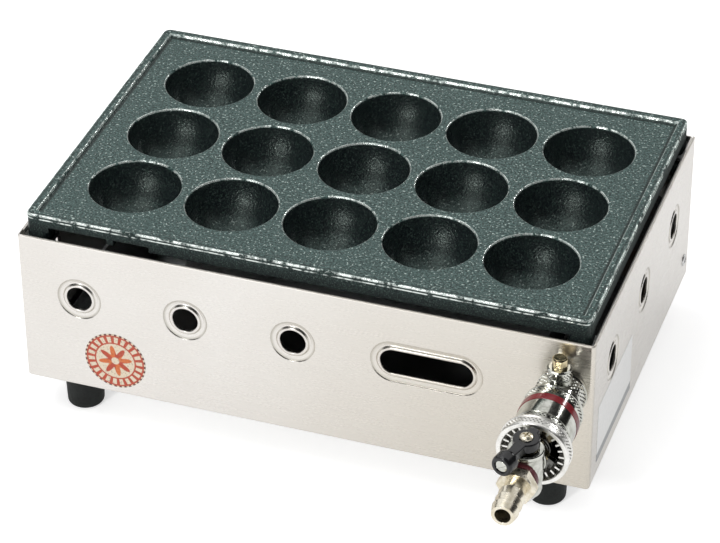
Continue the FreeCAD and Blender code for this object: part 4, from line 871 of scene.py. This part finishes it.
# %% Screws with a cross slot
def cross_screw(name, head, height, shank, length, place=None, scale=to_metres):
    """A pan-head screw along its own Z, its head on top of z = 0."""
    screw = lathe(name, [
        (0, height, 0), (0.55 * head, 0.96 * height, 0.2), (0.92 * head, 0.55 * height, 0.4), (head, 0, 0.1),
        (shank, 0, 0.1), (shank, 0.3 - length, 0.2), (shank - 0.5, -length, 0.1), (0, -length, 0)],
        segments=40, scale=in_millimetres)
    long, narrow = 0.6 * head, 0.13 * head
    for x, y in ((long, narrow), (narrow, long)):
        slot = block("slot", (-x, -y, 0.45 * height), (x, y, height + 1), scale=in_millimetres)
        shape_with(screw, slot, "DIFFERENCE")
    screw.data.transform(scale @ (place or Matrix()))
    return screw


screw = cross_screw("screw", 3.0, 0.8, 1.5, 3.5, Matrix.Rotation(pi / 2, 4, "Y"), in_millimetres)
pair_low, pair_high = box("back_screws")
between = Matrix.Translation((pair_low + pair_high) / 2)
back_screws = round_axis.run("back_wall_screws", between, Template=screw, Count=2, Rows=1,
                             Radius=casing_half, Material=screw_steel)
keep(back_screws, screw_steel, "base", "screw_steel", "back_screws")

# %% [markdown]
# ## The gas fitting
#
# Gas enters at the barbed nipple, passes the cock's tapered plug and leaves the brass nozzle as a
# jet in the mouth of the mixing tube. The bell round the nozzle turns to let in more or less air.
# Apart from the lever all of this is turned work, so each part is an outline of (radius, distance)
# points with small rounds. Distances along the fitting are forward from the wall, and the third
# number of a point is its round. Knurls are rows of little pyramids, staggered by half a step, as a
# knurling wheel leaves.

# %% The axis of the fitting
tube_low, tube_high = box("mixing_tube")
axis_x, axis_z = (tube_low.x + tube_high.x) / 2, (tube_low.z + tube_high.z) / 2
screw_forward, cock_forward = 6.1, 54.2
print("the fitting's axis is at", round(axis_x, 2), round(axis_z, 2))


def facing(x, y, z):
    """Own Z points forward, to -Y, and own Y up."""
    return Matrix(((1, 0, 0, x), (0, 0, -1, y), (0, 1, 0, z), (0, 0, 0, 1)))


def upright(forward, height=0.0):
    """Own Z up, standing over the fitting's axis at a distance forward of the wall."""
    return Matrix.Translation((axis_x, front_y - forward, axis_z + height))


on_axis, on_cock = facing(axis_x, front_y, axis_z), upright(cock_forward)


def pyramid(side, height):
    """A little stud whose point looks along its own X."""
    sheet = bmesh.new()
    half = side / 2
    base = [sheet.verts.new((-0.3, y, z)) for y, z in ((-half, 0), (0, -half), (half, 0), (0, half))]
    join_rings(sheet, [base, [sheet.verts.new((height, 0, 0))]])
    sheet.faces.new(base)
    return finish_mesh(sheet, "stud", crease=5, scale=in_millimetres)


def knurl(radius, height, start, end, pitch, place=on_axis):
    """Staggered rows of studs round an axis, from start to end."""
    count, rows = round(2 * pi * radius / pitch), max(1, round((end - start) / (pitch / 2)) - 1)
    step = (end - start) / (rows + 1)
    return round_axis.run("knurl", place @ Matrix.Translation((0, 0, start + step)), Material=chrome,
                          Template=pyramid(pitch * 1.02, height), Count=count, Rows=rows,
                          Radius=float(radius), Step=step, Stagger=0.5)


def recess(outer, root, start, end, shoulder=0.2):
    """Points of the shallow recess that a knurl lies in, between two shoulders."""
    return [(outer, start - shoulder, shoulder), (root, start, 0.1), (root, end, 0.1),
            (outer, end + shoulder, shoulder)]


def hexagon(inner, face, corner, start, end, chamfer, bevel, apothem):
    """A six-sided collar from start to end, its corners bevelled as on a nut."""
    return lathe("hexagon", [
        (inner, start, 0), (face, start, bevel), (corner, start + chamfer, 0.2),
        (corner, end - chamfer, 0.2), (face, end, bevel), (inner, end, 0)], on_axis, 48, (6, apothem))


# %% Collar at the wall, with the clamp screw on top
collar_radius, collar_root, collar_bore, collar_knurl = 11, 10.6, 7.05, (1.9, 9.4)
collar = lathe("wall_collar_body", [
    (collar_bore, -5.2), (9, -5.2, 0.4), (9, 0, 0.1), (collar_radius, 0, 0.5),
    *recess(collar_radius, collar_root, *collar_knurl, 0.3), (collar_radius, 11.5, 0.6),
    (collar_bore, 11.5, 0.3)], on_axis)
seat = lathe("seat", [(0, 6, 0), (5.3, 6, 0.2), (5.3, 12, 0.5), (0, 12, 0)], upright(screw_forward), 48)
shape_with(collar, seat, "UNION")
collar = merge_pieces("collar", collar, knurl(collar_root - 0.1, 0.5, *collar_knurl, 2.3))
keep(collar, chrome, "base", "chrome", "wall_collar")
on_seat = upright(screw_forward, 12)
drum = lathe("drum", [
    (0, 4.6, 0), (4.4, 4.6, 0.2), (5.3, 4.2, 0.2), (5.3, 3.7, 0.1), (5.0, 3.5, 0.1), (5.0, 0.8, 0.1),
    (5.3, 0.6, 0.1), (5.3, 0.1, 0.2), (3, 0, 0.1), (3, -4.9, 0.2), (0, -4.9, 0)], on_seat, 64)
screw = merge_pieces("clamp_thumb_screw", drum, knurl(4.9, 0.55, 0.7, 3.6, 1.5, on_seat))
keep(screw, chrome, "base", "brass", "clamp_screw")
stud = lathe("clamp_screw_top", [
    (0, 9.2, 0), (2.6, 9.5, 0.3), (3.25, 8.9, 0.2), (3.25, 5.2, 0.2), (3.7, 4.9, 0.2), (3.7, 4.5, 0.1),
    (0, 4.5, 0)], on_seat, 48, (6, 3.0))
keep(stud, brass, "base", "brass")

# %% Mixing tube with its knurled ends and the red band
barrel, barrel_root, band_seat, shank, bore = 12.8, 12.4, 12.2, 7, 5
shoulder, tube_mouth, rear_knurl, front_knurl, band = 11.6, 38, (14.8, 18.2), (32.6, 36.6), (21, 23)
tube = lathe("tube", [
    (bore, -14, 0.2), (shank, -14, 0.4), (shank, shoulder, 0.1), (12, shoulder, 0.4), (12, 13.4, 0.1),
    (barrel, 13.4, 0.35), *recess(barrel, barrel_root, *rear_knurl), (barrel, band[0], 0.15),
    (band_seat, band[0], 0), (band_seat, band[1], 0), (barrel, band[1], 0.15),
    *recess(barrel, barrel_root, *front_knurl), (barrel, tube_mouth, 0.35), (11.85, tube_mouth, 0.15),
    (11.85, tube_mouth - 3, 0), (10.6, tube_mouth - 3, 0.2), (10.6, 33.2, 0.5), (bore, shoulder, 2)],
    on_axis, 96)
knurls = [knurl(barrel_root, 0.42, *ends, 1.7) for ends in (rear_knurl, front_knurl)]
keep(merge_pieces("mixing_tube_body", tube, *knurls), chrome, "base", "chrome", "mixing_tube")
band = lathe("red_band", [
    (12.3, 21.1), (12.82, 20.1), (13, 20.2, 0.1), (13, 23.8, 0.1), (12.82, 23.9), (12.3, 22.9)],
    on_axis, 96, radius=0.03)
keep(band, red_plastic, "base", "red_plastic", "tube_band")

# %% The air bell with its two windows
bell_radius, bell_root, bell_bore, bell_back, bell_front = 15.5, 15.1, 12.9, 38.2, 45
bell_knurl, web_front, rib_count, window_half_angle = (39.6, 43.4), 40.4, 24, 35


def sector(inner, outer, back, front, middle):
    """A wedge-shaped cutter about the angle middle, in degrees."""
    angles = [radians(middle + window_half_angle * step / 6) for step in range(-6, 7)]
    corners = [(outer * cos(a), outer * sin(a)) for a in angles]
    corners += [(inner * cos(a), inner * sin(a)) for a in reversed(angles)]
    return extruded("window", corners, back, front, on_axis)


bell = lathe("bell", [
    (bell_bore, bell_back, 0.1), (15.3, bell_back, 0.5), *recess(bell_radius, bell_root, *bell_knurl),
    (15.4, bell_front, 0.6), (13.3, bell_front, 0.6), (bell_bore, web_front, 0.3)], on_axis, 96)
rib = block("rib", (-2.4, -0.4, 0), (0, 0.4, 3.2), 0.12, in_millimetres)
ribs = round_axis.run("ribs", on_axis @ Matrix.Translation((0, 0, web_front - 0.2)), Template=rib,
                      Count=rib_count, Rows=1, Radius=bell_bore + 0.15, Material=chrome)
bell = merge_pieces("air_bell", bell, ribs, knurl(bell_root, 0.38, *bell_knurl, 1.7))
keep(bell, satin_chrome, "shutter", "chrome", "air_shutter")
web = lathe("air_bell_web", [
    (4.65, bell_back, 0.1), (13, bell_back, 0.1), (13, web_front, 0.1), (6, web_front, 0.5),
    (6, 41.7, 0.4), (4.65, 41.7, 0.2)], on_axis, 96)
for middle in (180, 0):
    shape_with(web, sector(6.4, 12.2, 37, 41.5, middle), "DIFFERENCE")
keep(web, smoked, "shutter", "chrome", "air_shutter")

# %% Nozzle and cock body
gas_way, jet, nozzle_radius, thread, thread_end = 2.3, 0.5, 4.6, 3.6, 48.7
hexagon_start, cock_start, cock_end = 41.9, 46.5, 62
stem = lathe("nozzle_stem", [
    (jet, 28, 0), (1.5, 28, 0.3), (nozzle_radius, 32.6, 0.6), (nozzle_radius, hexagon_start, 0.1),
    (thread, hexagon_start, 0), (thread, thread_end, 0.2), (gas_way, thread_end, 0.1),
    (gas_way, 30.3, 0.1), (jet, 29.15, 0)], on_axis, 48)
nozzle = merge_pieces("gas_nozzle", stem, hexagon(2.95, 5.8, 6.93, hexagon_start, cock_start, 0.6, 0.1, 6))
keep(nozzle, brass, "base", "brass", "injector")
cock_body = lathe("cock_body_casting", [
    (3.65, cock_start, 0.1), (6.4, cock_start, 0.4), (7, 47.4, 0.4), (7, 48.6, 0.3), (6.6, 49, 0.3),
    (6.6, 59.8, 0.4), (7, 60.2, 0.3), (7, 61.4, 0.3), (6.6, cock_end, 0.3), (4.65, cock_end, 0.1),
    (4.65, 59.4, 0), (2.6, 59.4, 0), (2.6, thread_end, 0), (3.65, thread_end, 0)], on_axis)
boss = lathe("boss", [
    (4.25, -11, 0.1), (6.6, -11, 0.5), (7, -9.4, 0.5), (6.7, -7, 1.5), (7.3, -4, 2), (7.3, 5, 2),
    (7.0, 8, 0.5), (7.5, 8.6, 0.3), (7.5, 10.1, 0.4), (7.1, 10.5, 0.2), (5.15, 10.5, 0.1)], on_cock)
plug_way = lathe("plug_way", [(0, -12), (4.2, -12), (5.2, 11.5), (0, 11.5)], on_cock, 48, radius=0)
shape_with(cock_body, boss, "UNION")
shape_with(cock_body, plug_way, "DIFFERENCE")
keep(cock_body, chrome, "base", "chrome", "cock_body")

# %% Marker ring and hose nipple
ring_start, ring_end = 60.5, 63.4
ring = lathe("maroon_ring", [
    (4.65, cock_end), (7.02, cock_end), (7.02, ring_start), (7.4, ring_start, 0.25),
    (7.4, ring_end, 0.45), (4.65, ring_end)], on_axis, radius=0.05)
keep(ring, maroon, "base", "red_plastic", "marker_ring")
stem_radius, barb_radius, hose_bore, barb_start, barb_step, barb_count = 4.75, 5.8, 3.3, 73, 4.4, 3
barb_end = barb_start + barb_step * barb_count
barbs = [(hose_bore, 59.4, 0.1), (4.6, 59.4, 0.3), (4.6, ring_end, 0), (stem_radius, 68.2, 0.1),
         (stem_radius, barb_start, 0.15)]
for number in range(barb_count):
    start = barb_start + barb_step * number
    barbs += [(barb_radius, start + 0.15, 0.3), (stem_radius, start + barb_step, 0.12)]
barbs += [(4.3, barb_end, 0.2), (hose_bore, barb_end, 0.25)]
grip = hexagon(4.35, 7.0, 8.43, ring_end, 68.4, 0.7, 0.15, 7.3)
hose_end = merge_pieces("hose_end", lathe("stem", barbs, on_axis, 64), grip)
keep(hose_end, nickel, "base", "chrome", "hose_nipple")

# %% Plug, its nut and washer
nut_low, washer_low, washer_high, arm_low, arm_high = -15.1, -11.9, -11.1, 11.1, 15.5
plug = lathe("tapered_plug", [
    (0, -17, 0), (1.5, -17, 0.1), (1.8, -16.6, 0.1), (1.8, -11, 0.1), (4.2, -11, 0.2), (5.1, 10.5, 0.3),
    (0, 10.5, 0)], on_cock, 48)
tang_half, middle_y = 2.45, front_y - cock_forward
tang = block("tang", (axis_x - tang_half, middle_y - tang_half, axis_z + 10),
             (axis_x + tang_half, middle_y + tang_half, axis_z + arm_high), 0.3)
shape_with(plug, tang, "UNION")
keep(plug, brass, "cock", "brass", "cock_plug")
washer = lathe("plug_washer_disc", [
    (1.85, washer_low), (5.8, washer_low, 0.25), (5.8, washer_high, 0.1), (1.85, washer_high)],
    on_cock, 48, radius=0.05)
keep(washer, screw_steel, "cock", "screw_steel", "plug_washer")
nut = lathe("plug_hex_nut", [
    (1.85, nut_low, 0.3), (3.4, nut_low, 0.1), (4.04, -14.6, 0.1), (4.04, -12.2, 0.1),
    (3.6, washer_low, 0.1), (1.85, washer_low, 0.1)], on_cock, 48, (6, 3.5))
keep(nut, screw_steel, "cock", "screw_steel", "plug_nut")

# %% [markdown]
# ## The lever
#
# The lever is a flat hub with a tapering arm. It sits on the plug's square and carries a round
# knob. Its outline is drawn once, extruded, and given a Bevel modifier whose result is kept, because
# moulded edges are soft all the way round. A pin with a slotted end holds the knob.

# %% Arm
hub_radius, arm_half, hub_back, arm_reach = 5.6, 2.1, 7.5, 13.0
on_plug = on_cock @ Matrix.Rotation(radians(-15), 4, "Z")
on_arm = on_plug @ facing(0, -arm_reach, (arm_low + arm_high) / 2)  # its Z points out of the arm's end


def lever_arm():
    """The hub is a circle; its points near the middle line are drawn out, far for the arm."""
    outline = []
    for x, y in circle(hub_radius, 40):
        if abs(x) < arm_half + 0.1:
            x, y = max(-arm_half, min(arm_half, x * 1.4)), hub_back if y > 0 else -arm_reach
        outline.append((x, y))
    arm = extruded("lever", outline, arm_low, arm_high, on_plug)
    soft = arm.modifiers.new("soft", "BEVEL")
    soft.width, soft.segments, soft.limit_method = 0.0006, 3, "ANGLE"
    arm.data = result_of_modifiers(arm)
    arm.modifiers.clear()
    return arm


pin = lathe("pin", [(0, -1, 0), (1.9, -1, 0.1), (1.9, 4.5, 0.3), (0, 4.5, 0)], on_arm, 32)
keep(merge_pieces("lever", lever_arm(), pin), black_plastic, "cock", "black_plastic", "lever_arm")

# %% Knob, its pin and the screw on the hub
knob_radius, knob_end, recess_radius = 4.7, 6.5, 2.85
knob = lathe("lever_knob_cap", [
    (1.95, 0, 0.2), (4.4, 0, 0.6), (knob_radius, 1.4, 0.5), (knob_radius, 5.2, 0.8), (4.2, knob_end, 0.6),
    (recess_radius, knob_end, 0.3), (recess_radius, 5.7, 0.1), (0, 5.7, 0), (0, 4.5, 0), (1.95, 4.5, 0.1)],
    on_arm, 64)
keep(knob, black_plastic, "cock", "black_plastic", "lever_knob")
pin_head = lathe("knob_pin", [
    (0, 6.45, 0), (1.9, 6.35, 0.3), (2.65, 6.1, 0.2), (2.65, 5.6, 0), (0, 5.6, 0)],
    segments=48, scale=in_millimetres)
cut = block("cut", (-3, -0.35, 6.05), (3, 0.35, 7), scale=in_millimetres)
cut.data.transform(Matrix.Rotation(0.6, 4, "Z"))
shape_with(pin_head, cut, "DIFFERENCE")
pin_head.data.transform(to_metres @ on_arm)
keep(pin_head, chrome, "cock", "chrome")
hub_screw = cross_screw("hub_screw", 2.9, 1.5, 1.4, 6.0, on_plug @ Matrix.Translation((0, 0, arm_high)))
keep(hub_screw, nickel, "cock", "screw_steel", "lever_screw")

# %% [markdown]
# ## Stickers
#
# A round sticker sits at the lower left of the front and a plain white one on the right side. Both
# are about a tenth of a millimetre thick. The round one carries a generic rosette in red, orange
# and cream with a beaded edge, drawn by its material from the distance and the angle about its
# middle. The white one is left blank, with a grey strip along its foot.

# %% Round sticker
sticker_x, sticker_z, sticker_radius, sticker_height = centre_x - 86, casing_low.z + 17.5, 14.25, 0.12


def rosette_finish():
    finish = Finish("rosette_paper", Coat_Weight=0.3, Coat_Roughness=0.2)
    fit, mix = finish.fit, finish.mix
    flat = finish.around((sticker_x, front_y, sticker_z))
    distance = finish.length(flat)
    x, _, z = finish.parts(flat)
    angle = finish.math("ARCTAN2", z, x)

    def wave(count):
        return finish.math("SINE", finish.times(angle, count))

    red, orange, cream = (0.44, 0.042, 0.010), (0.60, 0.13, 0.020), (0.70, 0.60, 0.46)
    petals = finish.plus(5.8, finish.times(2.2, wave(8.0)))
    flower = mix(fit(wave(4.0), -0.1, 0.1), red, orange)
    colour = mix(fit(finish.minus(distance, petals), -0.3, 0.3), flower, cream)
    colour = mix(fit(distance, 1.7, 2.0, 1.0, 0.0), colour, cream)
    border = mix(fit(wave(22.0), -0.35, -0.05), red, cream)
    beads = mix(fit(wave(36.0), -0.3, 0.3), (0.10, 0.02, 0.02), cream)
    for start, end, ring in ((8.9, 9.2, red), (9.6, 9.9, border), (12.6, 12.9, red), (13.4, 13.6, beads)):
        colour = mix(fit(distance, start, end), colour, ring)
    fibre, fleck = finish.noise(900, 3.0), finish.noise(1400, 2.0)
    colour = mix(fit(fleck, 0.56, 0.66, 0.0, 0.55), colour, (0.14, 0.05, 0.03))
    colour = mix(fit(fibre, 0.5, 0.9, 0.0, 0.2), colour, (0.62, 0.50, 0.36))
    return finish.done(colour, fit(fibre, 0.3, 0.7, 0.35, 0.5), finish.relief(fibre, 0.03))


sticker = lathe("round_sticker", [
    (0, 0, 0), (sticker_radius, 0, 0), (sticker_radius, 0.08, 0.04),
    (sticker_radius - 0.1, sticker_height, 0), (0, sticker_height, 0)],
    facing(sticker_x, front_y, sticker_z), 96)
keep(sticker, rosette_finish(), "base", "stainless")

# %% Blank white label on the right wall
label_low = casing_high.x, front_y + 11, casing_low.z + 7
label_high = casing_high.x + sticker_height, front_y + 66, casing_low.z + 36
strip_top = casing_low.z + 11


def label_finish():
    finish = Finish("blank_label", Coat_Weight=0.2, Coat_Roughness=0.25)
    fit, fibre = finish.fit, finish.noise(700, 3.0)
    height = finish.parts(finish.around())["Z"]
    paper = finish.mix(fit(fibre, 0.35, 0.75), (0.88, 0.88, 0.87), (0.82, 0.82, 0.81))
    strip = finish.mix(fit(height, strip_top - 0.1, strip_top + 0.1, 1.0, 0.0), paper, (0.33, 0.34, 0.35))
    return finish.done(strip, fit(fibre, 0.3, 0.7, 0.4, 0.55), finish.relief(fibre, 0.03))


keep(block("side_label", label_low, label_high), label_finish(), "base", "stainless")

# %% [markdown]
# ## Parts that keep the frame's own shape
#
# The burner, its stands, the floor pan, the brackets and the nuts already have their real shapes in
# the frame. They get their finish, and three modifiers soften them: Weld joins the loose triangles,
# Bevel breaks the sharp edges, and weighted normals keep the flat faces flat.

# %% Finish and soften the other nodes
inner_parts = (
    (galvanized, ("base_pan", "heat_shield", "burner_stand_left", "burner_stand_right",
                  *[f"plate_bracket_{corner}" for corner in corner_names])),
    (burner_iron, ("burner_casting",)),
    (screw_steel, ("foot_screws", "foot_nuts", "stand_screws", "collar_nut")),
    (smoked, ("port_disc",)),
)
for finish, names in inner_parts:
    for name in names:
        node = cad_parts[name]
        node.data.materials.clear()
        node.data.materials.append(finish)
        weld = node.modifiers.new("weld", "WELD")
        weld.merge_threshold = 2e-6
        soft = node.modifiers.new("soft", "BEVEL")
        soft.width, soft.segments, soft.limit_method, soft.angle_limit = 0.00018, 2, "ANGLE", radians(50)
        even = node.modifiers.new("even shading", "WEIGHTED_NORMAL")
        even.keep_sharp = False
print("finished", sum(len(names) for _, names in inner_parts), "nodes of the frame")

# %% [markdown]
# ## Camera, floor and light
#
# The camera looks down from the front right with a long lens. The floor is plain and pale. A large
# lamp above gives the main light, a smaller one fills the front, a small one behind edges the rim,
# and a white world does the rest. Polished metal only looks like metal when it has something dark
# to reflect, so dark cards stand round the object and hang over it. Only reflections see them. The
# gaps between them, low at the front and the sides and high at the back, show white in the metal.

# %% Camera
azimuth, elevation, roll = (radians(angle) for angle in (19.0966, 35.0442, -0.33056))
camera = new_object("camera", bpy.data.cameras.new("camera"))
camera.data.sensor_width, camera.data.lens = 36, 157.69
camera.data.clip_start, camera.data.clip_end = 0.1, 20
camera.matrix_world = (Matrix.Translation((0.376877, -1.053078, 0.859349)) @ Matrix.Rotation(azimuth, 4, "Z")
                       @ Matrix.Rotation(pi / 2 - elevation, 4, "X") @ Matrix.Rotation(roll, 4, "Z"))
bpy.context.scene.camera = camera
print("the camera stands at", camera.matrix_world.translation)

# %% Floor and dark cards, in metres
floor_half, floor_glow, floor_glow_to_camera = 3, 0.22, 0.28
reach, ceiling, gap_y, gap_x = 2.5, 2.4, 0.6, 0.3
near_gap, right_gap, low_top = 0.6, 0.4, 1.0


def seen_white(graph):
    """1 for rays from the camera, a gloss or a glass, 0 for the rays that light things."""
    path = graph.add("ShaderNodeLightPath").outputs
    return graph.most(graph.most(path["Is Camera Ray"], path["Is Glossy Ray"]), path["Is Transmission Ray"])


def card(name, corners, grey, **plain):
    """A flat staged sheet of one grey; gives it and its finish."""
    sheet = bmesh.new()
    sheet.faces.new([sheet.verts.new(corner) for corner in corners])
    thing = piece_from_sheet(name, sheet)
    finish = Finish(name, Base_Color=(grey, grey, grey, 1), Roughness=0.9, **plain)
    thing.data.materials.append(finish.material)
    thing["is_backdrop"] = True
    return thing, finish


def dark_card(name, corners):
    thing = card(f"dark_card_{name}", corners, 0.012)[0]
    thing.visible_camera = thing.visible_diffuse = thing.visible_shadow = thing.visible_transmission = False
    thing.visible_volume_scatter = False


corners = [(x * floor_half, y * floor_half, -0.0002) for x, y in ((-1, -1), (1, -1), (1, 1), (-1, 1))]
finish = card("floor", corners, 0.8, Emission_Color=(1, 1, 1, 1))[1]
seen = finish.add("ShaderNodeLightPath").outputs["Is Camera Ray"]
glow = finish.plus(finish.times(seen_white(finish), floor_glow), finish.times(seen, floor_glow_to_camera))
finish.join(glow, finish.shader.inputs["Emission Strength"])
walls = {
    "front": ((reach, -reach), (-reach, -reach), near_gap, ceiling),
    "left": ((-reach, -reach), (-reach, gap_y), near_gap, ceiling),
    "right": ((reach, gap_y), (reach, -reach), right_gap, ceiling),
    "back_left": ((-reach, gap_y), (-reach, reach), 0, low_top),
    "back": ((-reach, reach), (gap_x, reach), 0, low_top),
    "back_corner": ((gap_x, reach), (reach, reach), 0, ceiling),
    "back_right": ((reach, reach), (reach, gap_y), 0, ceiling),
}
for name, (start, end, foot, top) in walls.items():
    dark_card(name, [(*start, foot), (*end, foot), (*end, top), (*start, top)])
dark_card("above", [(-reach, -reach, ceiling), (reach, -reach, ceiling), (reach, gap_y, ceiling),
                    (-reach, gap_y, ceiling)])
print("dark cards:", len(walls) + 1)

# %% Lamps and world, in metres and watts
target = Vector((0, 0.04, 0.08))
world_light, extra_white = 0.66, 0.34  # the second only where the world is seen


def lamp(name, place, size, watts):
    thing = new_object(name, bpy.data.lights.new(name, "AREA"))
    thing.data.size, thing.data.energy = size, watts
    thing.location = place
    thing.rotation_mode = "QUATERNION"
    thing.rotation_quaternion = (target - Vector(place)).to_track_quat("-Z", "Y")
    print(name, "gives", watts, "W")


lamp("top_lamp", (-0.45, -0.15, 1.5), 1.0, 7)
lamp("back_lamp", (1.2, 1.9, 1.1), 0.12, 7)
lamp("front_lamp", (-0.56, -1.66, 1.03), 0.32, 14)
world = bpy.data.worlds.new("studio")
bpy.context.scene.world = world
world.use_nodes = True
graph, background = Graph(world.node_tree), world.node_tree.nodes["Background"]
background.inputs["Color"].default_value = (1, 1, 1, 1)
strength = graph.plus(graph.times(seen_white(graph), extra_white), world_light)
graph.join(strength, background.inputs["Strength"])
bpy.context.scene.view_settings.view_transform = "Standard"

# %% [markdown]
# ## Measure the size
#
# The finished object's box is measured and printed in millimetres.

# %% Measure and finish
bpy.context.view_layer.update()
sizes = [round((high - low) * 1000, 1) for low, high in zip(*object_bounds())]
print("the finished object measures", sizes, "mm")
